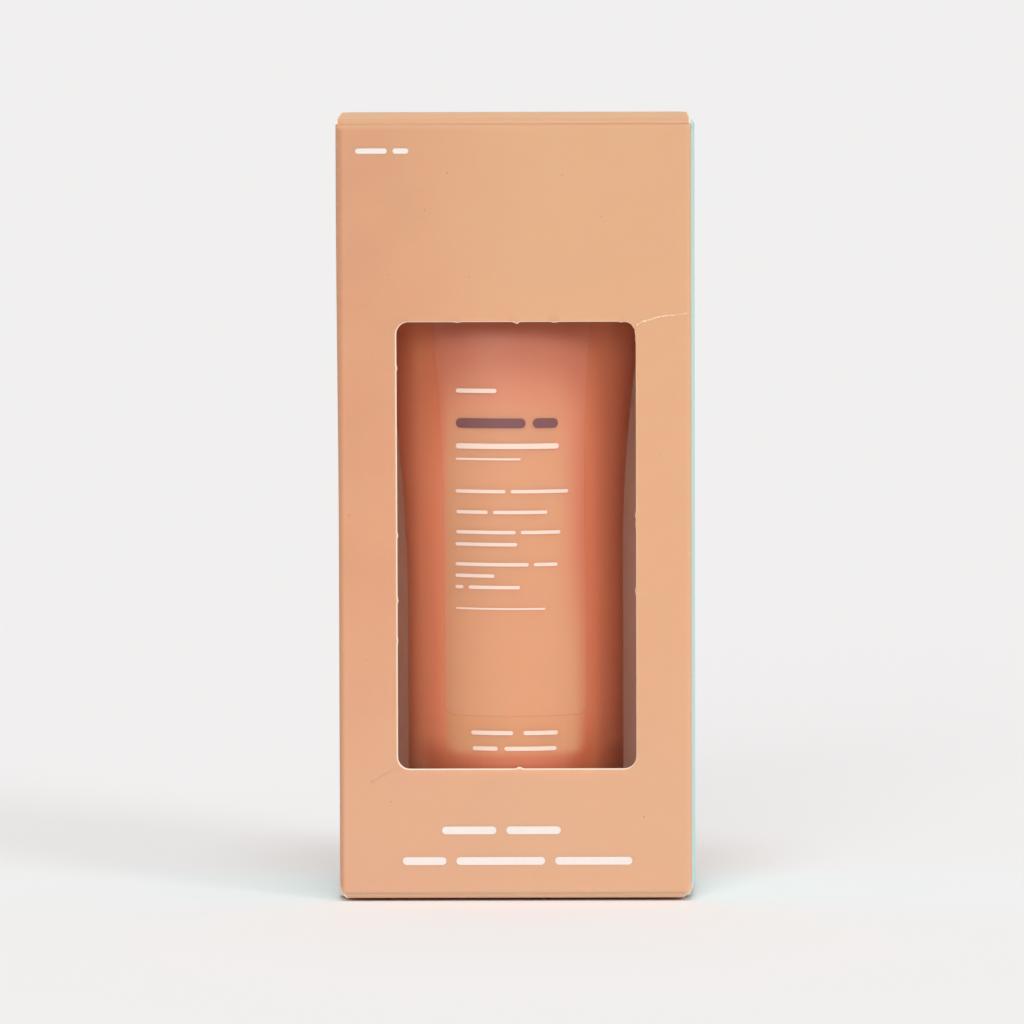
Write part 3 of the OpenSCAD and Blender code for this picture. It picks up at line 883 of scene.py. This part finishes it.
# How far the back panel stops short of the carton's top and foot
BACK_GAP = 0.05 * MM
BACK_ROWS, BACK_COLUMNS = 12, 30


def build_back():
    """Back panel. Its left crease leads into the glue flap, its right one to the side."""
    c = carton()
    mesh = bmesh.new()
    left, right = -SIDE_X + c.board + c.crease_r, SIDE_X - c.crease_r
    centre_y = BACK_Y - c.crease_r
    path = arc((left, centre_y), c.crease_r, math.pi, QUARTER, BOARD_CREASE_STEPS)
    path += [((x, BACK_Y), (0, 1)) for x in steps(left, right, BACK_ROWS)[1:-1]]
    path += arc((right, centre_y), c.crease_r, QUARTER, 0, BOARD_CREASE_STEPS)
    spans = []
    for _, normal in path:
        bend = 1 - max(0, normal[1])
        spans.append((BACK_GAP + bend * GLUE_LOW.z, CARTON_TOP - BACK_GAP - bend * GLUE_LOW.z))
    board_sheet(mesh, path, spans, upright, c.board, BACK_COLUMNS)
    faces = board_faces(peach_board())
    solid("carton_back", mesh, faces, nodes=["back_panel"])


SIDE_ROWS, SIDE_COLUMNS = 33, 60
GLUE_ROWS, GLUE_COLUMNS = 14, 20


def build_sides():
    """Two side panels that bow out a little, and the glue flap inside the left one."""
    c = carton()
    low = CARTON_TOP - DUST_TOP + c.crease_r
    for side in (-1, 1):
        node = f"{hand(side)}_side_panel"
        start, end = (corner.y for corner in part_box(node))
        path = [((side * SIDE_X, y), (side, 0)) for y in steps(start, end, SIDE_ROWS)]
        mesh = bmesh.new()
        board_sheet(mesh, path, [(low, CARTON_TOP - low)] * SIDE_ROWS, upright, c.board, SIDE_COLUMNS)
        bow_out(mesh, side)
        draw_in(mesh)
        faces = board_faces(mint_board())
        solid(f"carton_{hand(side)}_side", mesh, faces, nodes=[node])
    mesh = bmesh.new()
    glue_w = GLUE_HIGH.y - GLUE_LOW.y
    path, spans = [], []
    for y in steps(GLUE_HIGH.y, GLUE_LOW.y, GLUE_ROWS):
        cut = glue_w / 3 * (GLUE_HIGH.y - y) / glue_w
        path.append(((GLUE_LOW.x, y), (-1, 0)))
        spans.append((GLUE_LOW.z + cut, GLUE_HIGH.z - cut))
    board_sheet(mesh, path, spans, upright, c.board, GLUE_COLUMNS)
    faces = board_faces(inner_board())
    solid("carton_glue_flap", mesh, faces, nodes=["glue_flap"])


def flipped(place, top):
    """The place of a row on the upper end, or the same mirrored down to the lower end."""
    return lambda a, b, w: at_end(place(a, b, w), top)


def at_end(point, top):
    return point if top else (point[0], point[1], CARTON_TOP - point[2])


def end_names(top):
    """What an end's nodes are named after, and a word for its level."""
    return ("top", "upper") if top else ("bottom", "lower")


def hinged(name, mesh, outer, node):
    """A board piece baked into place, kept off any body, that stands in for its CAD node."""
    piece = solid(name, mesh, board_faces(outer), body=None)
    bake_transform(piece)
    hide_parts(node)


def tuck_crease():
    """Centre of the crease between a lid and its leaning tuck flap, as (y, z)."""
    c = carton()
    hinge_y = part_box("top_tuck_flap")[1].y
    lean, drop = c.tuck_lean, c.crease_r
    return hinge_y - (c.crease_r + drop * math.sin(lean)) / math.cos(lean), CARTON_TOP - drop


# How much wider each side of a lid is than its solid, how much narrower the lower one is by
# its crease, and over what depth each changes
LID_EASE, FOOT_NARROW, FOOT_EASE, REAR_EASE = 0.24 * MM, 0.45 * MM, 4 * MM, 2 * MM
LID_CREASE_STEPS, LID_ROWS, LID_COLUMNS = 13, 24, 41


def build_lid(top):
    """Lid with the crease that hangs it on the front panel."""
    c = carton()
    end, level = end_names(top)
    start_half = SIDE_X - (c.top_cut if top else c.crease_r)
    front_y, rear_y = FRONT_Y + c.crease_r, tuck_crease()[0]
    path = arc((front_y, CARTON_TOP - c.crease_r), c.crease_r, math.pi, QUARTER, LID_CREASE_STEPS)
    path += [((y, CARTON_TOP), (0, 1)) for y in steps(front_y, rear_y, LID_ROWS)[1:]]
    spans = []
    for (y, _), normal in path:
        bent = max(0, normal[1])
        widen = bent ** 4 if top else unit((y - front_y) / FOOT_EASE) ** 2
        narrow = 0 if top else FOOT_NARROW * bent * (1 - widen)
        across = start_half - narrow + (LID_HALF_W + LID_EASE - start_half) * widen
        to_rear = max(0, (y - rear_y) / REAR_EASE + 1)
        across -= (LID_HALF_W + LID_EASE - TUCK_HALF_W) * to_rear ** 3
        spans.append((-across, across))
    mesh = bmesh.new()
    raw = (c.raw_w, c.raw_w if top else c.foot_raw_w)
    board_sheet(mesh, path, spans, flipped(crosswise, top), c.board, LID_COLUMNS, raw)
    hinged(
        f"carton_{end}_lid", mesh, peach_board(),
        f"{end}_lid",
    )


TUCK_CREASE_STEPS, TUCK_ROWS = 14, 34


def build_tuck(top):
    """Tuck flap with rounded free corners and the crease that hangs it on its lid."""
    c = carton()
    end, level = end_names(top)
    centre = tuck_crease()
    path = arc(centre, c.crease_r, QUARTER, -c.tuck_lean, TUCK_CREASE_STEPS)
    (start_y, start_z), normal = path[-1]
    way = (-math.sin(c.tuck_lean), -math.cos(c.tuck_lean))
    plate_l = c.tuck_l - (CARTON_TOP - start_z) / math.cos(c.tuck_lean)
    spans = [(-TUCK_HALF_W, TUCK_HALF_W)] * len(path)
    for share in steps(0, 1, TUCK_ROWS)[1:]:
        along = plate_l * share
        across = TUCK_HALF_W - corner_cut(c.tuck_r, plate_l - along)
        path.append(((start_y + way[0] * along, start_z + way[1] * along), normal))
        spans.append((-across, across))
    mesh = bmesh.new()
    board_sheet(mesh, path, spans, flipped(crosswise, top), c.board, LID_COLUMNS)
    hinged(
        f"carton_{end}_tuck", mesh, peach_board(),
        f"{end}_tuck_flap",
    )


DUST_CREASE_STEPS, DUST_ROWS, DUST_COLUMNS = 12, 30, 25


def build_dust_flap(side, top):
    """Dust flap with a slanted front edge and the crease that hangs it on its side."""
    c = carton()
    end, level = end_names(top)
    node = f"{end}_{hand(side)}_dust_flap"
    front, rear = (corner.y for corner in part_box(node))
    crease_x, inner_x = SIDE_X - c.crease_r, SIDE_X - c.dust_reach
    crease = arc((0, 0), c.crease_r, 0, QUARTER, DUST_CREASE_STEPS)
    path = [((crease_x + x, DUST_TOP - c.crease_r + z), normal) for (x, z), normal in crease]
    spans = [(front, rear)] * len(path)
    for x in steps(crease_x, inner_x, DUST_ROWS)[1:]:
        slant = c.dust_slant * (crease_x - x) / (crease_x - inner_x)
        path.append(((x, DUST_TOP), (0, 1)))
        spans.append((front + slant, rear - corner_cut(c.dust_corner, x - inner_x)))
    mesh = bmesh.new()
    place = flipped(lambda a, b, w: (side * a, w, b), top)
    board_sheet(mesh, path, spans, place, c.board, DUST_COLUMNS)
    bow_out(mesh, side, flap=True)
    draw_in(mesh)
    hinged(
        f"carton_{node}", mesh, mint_board(),
        node,
    )


def oval_girth(a, b):
    """Girth of an ellipse with these half widths, to a close estimate."""
    return math.pi * (3 * (a + b) - math.sqrt((3 * a + b) * (a + 3 * b)))


def sleeve_share(z):
    """0 where the tube is round, 1 where its crimp starts."""
    t = tube()
    start = SLEEVE_LOW + t.round_h
    return unit((z - start) / (SLEEVE_HIGH - t.crimp_h - start))


# Halvings that find the depth of an oval with the round tube's girth
HALVINGS = 30
# A section's squareness: an ellipse's power, and what it gains toward the crimp
OVAL_POWER, CRIMP_POWER, CRIMP_ONSET = 2, 4, 10


def sleeve_section(z):
    """Half width, half depth, middle x and squareness of the sleeve at a height."""
    t = tube()
    share = sleeve_share(z)
    half_w = ROUND_R + (CRIMP_HALF_W - ROUND_R) * share ** t.flare
    low, high = 0.0, ROUND_R
    for _ in range(HALVINGS):
        middle = (low + high) / 2
        if oval_girth(half_w, middle) < oval_girth(ROUND_R, ROUND_R):
            low = middle
        else:
            high = middle
    half_d = max(t.crimp_t / 2, ROUND_R if share == 0 else low)
    middle_x = TUBE_X + (CRIMP_X - TUBE_X) * share * (2 - share)
    return half_w, half_d, middle_x, OVAL_POWER + CRIMP_POWER * share ** CRIMP_ONSET


# Where the tube's foot starts to round in, where its sleeve ends, and the height over which
# its swelling grows
FOOT_TOP = 17.1 * MM
SEAM_Z = FOOT_TOP + 0.1 * MM
SWELL_H = 1.5 * MM


def swell(cos, z):
    """How far the tube's left side swells outward, by the cosine of the place round it."""
    t = tube()
    rise = unit((z - FOOT_TOP + t.foot_h) / SWELL_H)
    return t.bulge * max(0, -cos) * (1 - sleeve_share(z)) * rise


def on_sleeve(turn, z, lift=0.0):
    """Point at an angle round the sleeve, where -90 degrees is the front."""
    half_w, half_d, middle_x, square = sleeve_section(z)
    cos, sin = math.cos(turn), math.sin(turn)
    x = (half_w + lift) * math.copysign(abs(cos) ** (2 / square), cos)
    y = (half_d + lift) * math.copysign(abs(sin) ** (2 / square), sin)
    return middle_x + x - swell(cos, z), y, z


def sleeve_turn(x, z):
    """Angle at which the sleeve's front reaches a given x."""
    half_w, _, middle_x, square = sleeve_section(z)
    share = max(-1.0, min(1.0, (x - middle_x) / half_w))
    return -math.acos(math.copysign(abs(share) ** (square / 2), share))


# Pressed ribs of the crimp: their count, rings for each, depth and share of the crimp's height
RIB_COUNT, RIB_RINGS, RIB_DEPTH, RIB_SHARE = 9, 4, 0.09 * MM, 0.94
SLEEVE_RINGS, SLEEVE_TURNS, ROLL_STEPS = 72, 128, 7
CRIMP_GAP, END_BEVEL = 0.3 * MM, 0.1 * MM


def foot_inset(z):
    """How far the tube's rounded foot lies inside its full radius at a height."""
    t = tube()
    down = unit((FOOT_TOP - z) / t.foot_h)
    return t.foot_w * (1 - math.sqrt(1 - down ** 2))


def sleeve_rows():
    """Heights and insets of the sleeve's rings, from its rolled foot to the ribbed crimp."""
    t = tube()
    crimp_low = SLEEVE_HIGH - t.crimp_h
    roll = t.wall / 5
    rolled = arc((roll, roll), roll, -QUARTER, -2 * QUARTER, ROLL_STEPS)
    rows = [(SEAM_Z, t.wall)] + [(SEAM_Z + z, inset) for (inset, z), _ in rolled]
    rows += [(z, 0.0) for z in steps(SEAM_Z + 2 * t.wall, crimp_low - CRIMP_GAP, SLEEVE_RINGS)]
    count = RIB_COUNT * RIB_RINGS
    for i in range(count):
        dip = RIB_DEPTH * (0.5 - 0.5 * math.cos(2 * math.pi * i / RIB_RINGS))
        rows.append((crimp_low + t.crimp_h * RIB_SHARE * (i / count), dip))
    return rows + [(SLEEVE_HIGH - END_BEVEL, 0.0), (SLEEVE_HIGH, END_BEVEL)]


def build_sleeve():
    """Squeezable sleeve: round foot, widening to a flat sealed crimp."""
    mesh = bmesh.new()
    turns = round_turns(SLEEVE_TURNS)
    rings = [[on_sleeve(turn, z, -inset) for turn in turns] for z, inset in sleeve_rows()]
    rows = add_rows(mesh, rings)
    quad_rows(mesh, rows, 0, closed=True)
    mesh.faces.new(rows[-1])
    solid("tube_sleeve_soft", mesh, [squeeze_plastic()], nodes=["tube_sleeve"])


# Room between sleeve and shoulder at their seam, and between the skirt and the sleeve's wall
SEAM_GAP, SKIRT_GAP = 0.02 * MM, 0.04 * MM
FOOT_STEPS, INNER_FOOT_STEPS = 14, 8
# The thread's ridges, counted from the shoulder, and the slope of their flanks
RIDGES, RIDGE_SLOPE = (1, 2, 3), 0.12 * MM


def turned(mesh, profile):
    """A closed profile of radii and heights, turned round the tube's axis."""
    rows = [
        [(TUBE_X + radius * math.cos(turn), radius * math.sin(turn), z) for radius, z in profile]
        for turn in round_turns(SLEEVE_TURNS)
    ]
    made = add_rows(mesh, rows)
    for low, high in zip(made, [*made[1:], made[0]]):
        quad_rows(mesh, [low, high], 0, closed=True)


def build_shoulder():
    """Moulded shoulder that rounds into the neck, with its skirt and its thread ridges."""
    t = tube()
    tip, skirt_top = (corner.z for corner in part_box("tube_shoulder"))
    flat = FOOT_TOP - t.foot_h
    skirt_r = ROUND_R - t.wall - SKIRT_GAP
    heights = (SEAM_Z - SEAM_GAP, *steps(FOOT_TOP, flat, FOOT_STEPS))
    foot = [(ROUND_R - SEAM_GAP - foot_inset(z), z) for z in heights]
    profile = [(skirt_r, skirt_top), (skirt_r, SEAM_Z - SEAM_GAP), *foot]
    for i in RIDGES:
        middle, half = flat - t.ridge_pitch * i, t.ridge_pitch / 4 - RIDGE_SLOPE
        profile += [(t.neck_r, middle + half), (t.neck_r + t.ridge_out, middle + half / 2)]
        profile += [(t.neck_r + t.ridge_out, middle - half / 2), (t.neck_r, middle - half)]
    profile.insert(len(foot) + 2, (t.neck_r, flat))
    bore = t.neck_r - t.neck_wall
    profile += [(t.neck_r, tip), (t.outlet_r, tip), (t.outlet_r, tip + t.neck_wall)]
    profile += [(bore, tip + t.neck_wall), (bore, flat + t.shoulder_wall)]
    profile += [
        (ROUND_R - t.shoulder_wall - foot_inset(z - t.shoulder_wall), z)
        for z in steps(flat + t.shoulder_wall, SLEEVE_LOW, INNER_FOOT_STEPS)
    ]
    profile.append((skirt_r - t.shoulder_wall / 2, skirt_top))
    mesh = bmesh.new()
    turned(mesh, profile)
    for vert in mesh.verts:
        x, y, z = vert.co
        vert.co.x -= swell((x - TUBE_X) / math.hypot(x - TUBE_X, y), z)
    plastic = moulded_plastic("terracotta_shoulder_plastic", t.terracotta)
    solid("tube_turned_shoulder", mesh, [plastic], nodes=["tube_shoulder"])


# The cream's lowest rings, as heights above its foot and insets, and its room inside the wall
CREAM_FOOT = [(0, 4 * MM), (0.5 * MM, 3.4 * MM), (3 * MM, 2 * MM)]
CREAM_GAP, CREAM_RISE = 0.6 * MM, 3.5 * MM
CREAM_RINGS, CREAM_TURNS = 24, 48


def build_cream():
    """The cream that fills the sleeve."""
    t = tube()
    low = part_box("cream_fill")[0].z
    mesh = bmesh.new()
    turns = round_turns(CREAM_TURNS)
    heights = [(low + rise, inset) for rise, inset in CREAM_FOOT]
    rings = steps(SLEEVE_LOW + CREAM_RISE, low + t.cream_h, CREAM_RINGS)
    heights += [(z, t.wall + CREAM_GAP) for z in rings]
    rows = add_rows(mesh, [[on_sleeve(turn, z, -gap) for turn in turns] for z, gap in heights])
    quad_rows(mesh, rows, 0, closed=True)
    mesh.faces.new(rows[0])
    mesh.faces.new(rows[-1])
    paste = shared("white_sun_cream", cream_paste, t.cream)
    solid("cream_inside", mesh, [paste], nodes=["cream_fill"])


FILM_CORNER, FILM_EDGE = 1.2 * MM, 0.1 * MM
# Share of its width that the film has lost at its top
FILM_NARROW = 0.17
FILM_ROWS, FILM_COLUMNS = 90, 41
# Colour, lowest and highest alpha of the film and of its cut edge
FILM_LOOK, FILM_EDGE_LOOK = ((0.9, 0.72, 0.56), 0.03, 0.1), ((0.45, 0.25, 0.17), 0.15, 0.3)


def film_patch(mesh, inset, slot, rim):
    """Conforming patch of the film. A rim is only the narrow band along its edge."""
    t = tube()
    low, high = LABEL_LOW + inset, LABEL_HIGH - inset
    rows = []
    for z in steps(low, high, FILM_ROWS):
        cut = corner_cut(FILM_CORNER, min(z - low, high - z))
        half = t.label_half * (1 - FILM_NARROW * sleeve_share(z)) - (inset + cut) / ROUND_R
        rows.append([(turn - QUARTER, z) for turn in steps(-half, half, FILM_COLUMNS)])
    if rim:
        loop = [row[0] for row in rows] + rows[-1][1:-1]
        loop += [row[-1] for row in reversed(rows)] + rows[0][-2:0:-1]
        shrink_z = (high - low - 2 * FILM_EDGE) / (high - low)
        shrink_turn = 1 - FILM_EDGE / (ROUND_R * t.label_half)
        middle = (low + high) / 2
        inner = [
            (-QUARTER + (turn + QUARTER) * shrink_turn, middle + (z - middle) * shrink_z)
            for turn, z in loop
        ]
        rows = [loop, inner]
    made = add_rows(mesh, [[on_sleeve(*spot, t.label_lift) for spot in row] for row in rows])
    quad_rows(mesh, made, slot, closed=rim)


def build_label():
    """Clear film on the tube's front, with the thin dark line of its cut edge."""
    mesh = bmesh.new()
    film_patch(mesh, FILM_EDGE, 0, rim=False)
    film_patch(mesh, 0, 1, rim=True)
    film = shared("clear_label_film", clear_film, *FILM_LOOK)
    edge = shared("clear_film_edge", clear_film, *FILM_EDGE_LOOK)
    solid("tube_clear_label", mesh, [film, edge], nodes=["front_label"])


# Plain printed dashes: left x, right x, middle z, height, in millimetres of the front
CARTON_DASHES = [
    (-22.0, -17.6, 104.55, 0.75), (-16.8, -14.6, 104.55, 0.75),
    (-10.2, -2.6, 9.55, 1.1), (-1.2, 6.4, 9.55, 1.1),
    (-15.7, -9.6, 5.25, 1.1), (-8.2, 4.2, 5.25, 1.1), (5.6, 16.4, 5.25, 1.1),
]
TUBE_DASHES = [
    (-8.0, -2.4, 70.9, 0.6),
    (-8.0, 6.2, 63.2, 0.75),
    (-8.0, 0.9, 61.4, 0.3),
    (-8.0, -1.2, 56.9, 0.5), (-0.5, 7.5, 56.9, 0.5),
    (-7.9, -3.6, 54.0, 0.5), (-2.9, 4.6, 54.0, 0.5),
    (-7.9, 0.2, 51.2, 0.5), (0.9, 6.4, 51.2, 0.5), (-8.0, 0.4, 49.5, 0.5),
    (-8.0, 2.0, 46.7, 0.5), (2.7, 6.0, 46.7, 0.5), (-8.0, -2.7, 45.1, 0.5),
    (-8.0, -6.9, 43.5, 0.5), (-6.2, 0.8, 43.5, 0.5),
    (-7.9, 4.3, 40.5, 0.26),
    (-5.9, -0.2, 23.1, 0.6), (1.2, 6.0, 23.1, 0.6),
    (-5.7, -2.3, 20.9, 0.6), (-1.4, 5.8, 20.9, 0.6),
]
TUBE_BOLD_DASHES = [(-8.0, 1.6, 66.4, 1.35), (2.6, 6.1, 66.4, 1.35)]
DASH_LIFT = 0.02 * MM
DASH_COLUMNS, DASH_END_STEPS, DASH_ROWS = 24, 7, (-1, -0.33, 0.33, 1)


def dash(mesh, left, right, middle, height, place):
    """A printed dash with round ends, laid where place puts it."""
    radius = height / 2
    turns = steps(0, QUARTER, DASH_END_STEPS)
    end = [(radius * (1 - math.cos(turn)), radius * math.sin(turn)) for turn in turns]
    columns = [(left + cut, half) for cut, half in end]
    columns += [(x, radius) for x in steps(left + radius, right - radius, DASH_COLUMNS)[1:-1]]
    columns += [(right - cut, half) for cut, half in reversed(end)]
    rows = [
        [place(x * MM, (middle + half * side) * MM) for x, half in columns] for side in DASH_ROWS
    ]
    quad_rows(mesh, add_rows(mesh, rows), 0)


def on_front(x, z):
    return x, FRONT_Y - DASH_LIFT, z


def on_film(x, z):
    return on_sleeve(sleeve_turn(x, z), z, tube().label_lift + DASH_LIFT)


def build_print():
    """Plain dashes where the pack's wording would stand."""
    pale = shared("pale_print_ink", ink, tube().pale_print)
    white = shared("carton_print_ink", ink, carton().ink)
    dark = shared("dark_print_ink", ink, tube().dark_print)
    for name, rows, place, paint in (
        ("carton_printed_dashes", CARTON_DASHES, on_front, white),
        ("tube_printed_dashes", TUBE_DASHES, on_film, pale),
        ("tube_bold_dashes", TUBE_BOLD_DASHES, on_film, dark),
    ):
        mesh = bmesh.new()
        for row in rows:
            dash(mesh, *row, place)
        solid(name, mesh, [paint])


# The torn print beside the window, from its edge to the crease, in millimetres of the front
TEAR_POINTS = [
    (17.1, 80.25), (18.0, 80.75), (19.0, 81.0), (20.1, 81.35), (21.1, 81.5), (22.8, 81.65),
    (24.3, 81.85),
]
# Its half width, steps from point to point, share lost at its end, and sideways wander
TEAR_HALF_W, TEAR_STEPS, TEAR_THINS, TEAR_WANDER = 0.11, 9, 0.55, 0.05
TEAR_UNEVEN, TEAR_COLOUR = (0.25, 1.3), (0.98, 0.72, 0.52)
# Brown specks in the board: x, z and radius in millimetres of the front
FLECKS = [
    (-9.2, 101.5, 0.13), (6.8, 101.2, 0.1), (-12.4, 96.3, 0.1), (-6.2, 87.0, 0.12),
    (-17.4, 87.3, 0.1), (-23.0, 53.8, 0.12), (-17.3, 13.6, 0.12), (-19.9, 16.4, 0.1),
    (18.0, 11.4, 0.13), (12.2, 95.4, 0.08), (20.4, 62.1, 0.08), (-20.8, 33.5, 0.09),
]
FLECK_UNEVEN, FLECK_FLAT, FLECK_COLOUR = (0.6, 1.2), 0.7, (0.34, 0.19, 0.11)
FLECK_CORNERS = 8
WEAR_SEED = 7


def build_wear():
    """The pale tear beside the window and a few brown flecks in the board."""
    random = Random(WEAR_SEED)
    mesh = bmesh.new()
    line = []
    for start, end in zip(TEAR_POINTS, TEAR_POINTS[1:]):
        line += straight(start, end, TEAR_STEPS)[:-1]
    line.append(TEAR_POINTS[-1])
    rows = [[], []]
    for i, (x, z) in enumerate(line):
        thin = TEAR_HALF_W * random.uniform(*TEAR_UNEVEN) * (1 - TEAR_THINS * i / len(line))
        wander = random.uniform(-TEAR_WANDER, TEAR_WANDER)
        rows[0].append(on_front(x * MM, (z + wander - thin) * MM))
        rows[1].append(on_front(x * MM, (z + wander + thin) * MM))
    quad_rows(mesh, add_rows(mesh, rows), 0)
    solid("torn_print", mesh, [shared("bare_tear", ink, TEAR_COLOUR)])
    mesh = bmesh.new()
    turns = round_turns(FLECK_CORNERS)
    for x, z, radius in FLECKS:
        reach = [radius * random.uniform(*FLECK_UNEVEN) for _ in turns]
        mesh.faces.new([
            mesh.verts.new(
                on_front((x + r * math.cos(a)) * MM, (z + FLECK_FLAT * r * math.sin(a)) * MM)
            )
            for r, a in zip(reach, turns)
        ])
    solid("board_flecks", mesh, [shared("brown_fleck", ink, FLECK_COLOUR)])


def dress_node(node, material):
    """Gives a CAD node that stays in view its material."""
    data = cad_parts[node].data
    data.materials.clear()
    data.materials.append(material)


class CARTON_OT_front(bpy.types.Operator):
    """Build the windowed front panel"""

    bl_idname = "carton.front"
    bl_label = "Front panel"

    def execute(self, context):
        build_front()
        return {"FINISHED"}


class CARTON_OT_walls(bpy.types.Operator):
    """Build the back, the two bowed sides and the glue flap"""

    bl_idname = "carton.walls"
    bl_label = "Back and sides"

    def execute(self, context):
        build_back()
        build_sides()
        return {"FINISHED"}


class CARTON_OT_lids(bpy.types.Operator):
    """Build both lids with their tuck flaps"""

    bl_idname = "carton.lids"
    bl_label = "Lids and tuck flaps"

    def execute(self, context):
        for top in (True, False):
            build_lid(top)
            build_tuck(top)
        return {"FINISHED"}


class CARTON_OT_dust_flaps(bpy.types.Operator):
    """Build the four dust flaps"""

    bl_idname = "carton.dust_flaps"
    bl_label = "Dust flaps"

    def execute(self, context):
        for top in (True, False):
            for side in (-1, 1):
                build_dust_flap(side, top)
        return {"FINISHED"}


class CARTON_OT_tube(bpy.types.Operator):
    """Build the sleeve, its shoulder and the cream in it, and finish the seal and the cap"""

    bl_idname = "carton.tube"
    bl_label = "Tube and cap"

    def execute(self, context):
        build_sleeve()
        build_shoulder()
        build_cream()
        dress_node("screw_cap", moulded_plastic("terracotta_cap_plastic", tube().cap))
        dress_node("foil_seal", shared("aluminium_seal", foil_metal))
        return {"FINISHED"}


class CARTON_OT_label(bpy.types.Operator):
    """Build the clear film on the tube's front"""

    bl_idname = "carton.label"
    bl_label = "Clear label"

    def execute(self, context):
        build_label()
        return {"FINISHED"}


class CARTON_OT_print(bpy.types.Operator):
    """Lay the printed dashes on the carton and on the tube"""

    bl_idname = "carton.print"
    bl_label = "Printed dashes"

    def execute(self, context):
        build_print()
        return {"FINISHED"}


class CARTON_OT_wear(bpy.types.Operator):
    """Add the tear and the flecks of a handled carton"""

    bl_idname = "carton.wear"
    bl_label = "Wear"

    def execute(self, context):
        build_wear()
        return {"FINISHED"}


# Half width of the floor in metres, its points along a side, and its distance below the part
FLOOR_HALF, FLOOR_STEPS, FLOOR_GAP = 9.0, 9, 0.42 * MM
# Soft lamps: name, strength, degrees to the right of the front, height and spread in degrees
LAMPS = [
    ("key_window", 0.62, 41, 26, 18),
    ("top_softbox", 0.85, 2, 66, 22),
    ("front_softbox", 0.6, -10, 22, 24),
]
FILL_STRENGTH, FILL_COLOUR = 0.59, (1.0, 0.995, 0.99, 1.0)
# The photograph's width, and the pixel at which the middle of the front stands
IMAGE_W = 1024
FRONT_PIXEL = (514.2, 509.6)
SENSOR_W, NEAR_CLIP, FAR_CLIP = 36.0, 0.01, 100.0


def build_floor(stage):
    """A wide floor that fills the view."""
    mesh = bmesh.new()
    spots = steps(-FLOOR_HALF, FLOOR_HALF, FLOOR_STEPS)
    quad_rows(mesh, add_rows(mesh, [[(x, y, -FLOOR_GAP) for x in spots] for y in spots]), 0)
    floor = solid("studio_floor", mesh, [shared("studio_paper", floor_paper, stage.floor)], body=None)


def toward(turn, rise):
    """Direction from the carton, turned to the right of its front and raised."""
    return Vector((
        math.sin(turn) * math.cos(rise), -math.cos(turn) * math.cos(rise), math.sin(rise)
    ))


def build_light():
    """An even pale surround and the soft lamps round the front."""
    world = bpy.data.worlds.new("studio_surround")
    bpy.context.scene.world = world
    world.use_nodes = True
    surround = world.node_tree.nodes["Background"]
    surround.inputs["Color"].default_value = FILL_COLOUR
    surround.inputs["Strength"].default_value = FILL_STRENGTH
    for name, strength, azimuth, height, spread in LAMPS:
        sun = bpy.data.lights.new(name, "SUN")
        sun.energy = strength
        sun.angle = math.radians(spread)
        lamp = bpy.data.objects.new(name, sun)
        lamp.location = toward(math.radians(azimuth), math.radians(height))
        lamp.rotation_mode = "QUATERNION"
        lamp.rotation_quaternion = lamp.location.to_track_quat("Z", "Y")
        bpy.context.scene.collection.objects.link(lamp)


def build_camera(stage):
    """The photograph's camera: far off with a long lens, a little above and to the right."""
    camera_data = bpy.data.cameras.new("photo_camera")
    camera_data.lens = stage.lens
    camera_data.sensor_width = SENSOR_W
    camera_data.clip_start, camera_data.clip_end = NEAR_CLIP, FAR_CLIP
    camera = bpy.data.objects.new("photo_camera", camera_data)
    target = Vector((0, FRONT_Y, CARTON_TOP / 2))
    back = toward(stage.azimuth, stage.elevation)
    camera.location = target + back * stage.distance
    look = (-back).to_track_quat("-Z", "Y")
    pixel = stage.distance / (stage.lens / SENSOR_W * IMAGE_W)
    across = (IMAGE_W / 2 - FRONT_PIXEL[0]) * pixel
    up = (FRONT_PIXEL[1] - IMAGE_W / 2) * pixel
    aim = target + look @ Vector((across, up, 0)) - camera.location
    camera.rotation_mode = "QUATERNION"
    roll = Quaternion((0, 0, 1), stage.roll)
    camera.rotation_quaternion = aim.to_track_quat("-Z", "Y") @ roll
    bpy.context.scene.collection.objects.link(camera)
    bpy.context.scene.camera = camera


class CARTON_OT_stage(bpy.types.Operator):
    """Set the floor, the light and the camera of the photograph"""

    bl_idname = "carton.stage"
    bl_label = "Stage"

    def execute(self, context):
        stage = context.scene.stage_settings
        build_floor(stage)
        build_light()
        build_camera(stage)
        context.scene.view_settings.view_transform = "Standard"
        return {"FINISHED"}


OPERATORS = [
    CARTON_OT_front, CARTON_OT_walls, CARTON_OT_lids, CARTON_OT_dust_flaps, CARTON_OT_tube,
    CARTON_OT_label, CARTON_OT_print, CARTON_OT_wear, CARTON_OT_stage,
]


class CARTON_PT_panel(bpy.types.Panel):
    """Lists the carton's build steps"""

    bl_idname = "CARTON_PT_panel"
    bl_label = "Carton and tube"
    bl_space_type = "VIEW_3D"
    bl_region_type = "UI"
    bl_category = "Carton"

    def draw(self, context):
        for operator in OPERATORS:
            self.layout.operator(operator.bl_idname)


SETTINGS = {
    "carton_settings": CartonSettings,
    "tube_settings": TubeSettings,
    "stage_settings": StageSettings,
}
CLASSES = [*SETTINGS.values(), *OPERATORS, CARTON_PT_panel]


def register():
    for one in CLASSES:
        bpy.utils.register_class(one)
    for name, group in SETTINGS.items():
        setattr(bpy.types.Scene, name, PointerProperty(type=group))


def unregister():
    for name in SETTINGS:
        delattr(bpy.types.Scene, name)
    for one in reversed(CLASSES):
        bpy.utils.unregister_class(one)


def main():
    register()
    for operator in OPERATORS:
        group, name = operator.bl_idname.split(".")
        getattr(getattr(bpy.ops, group), name)()


if __name__ == "__main__":
    main()
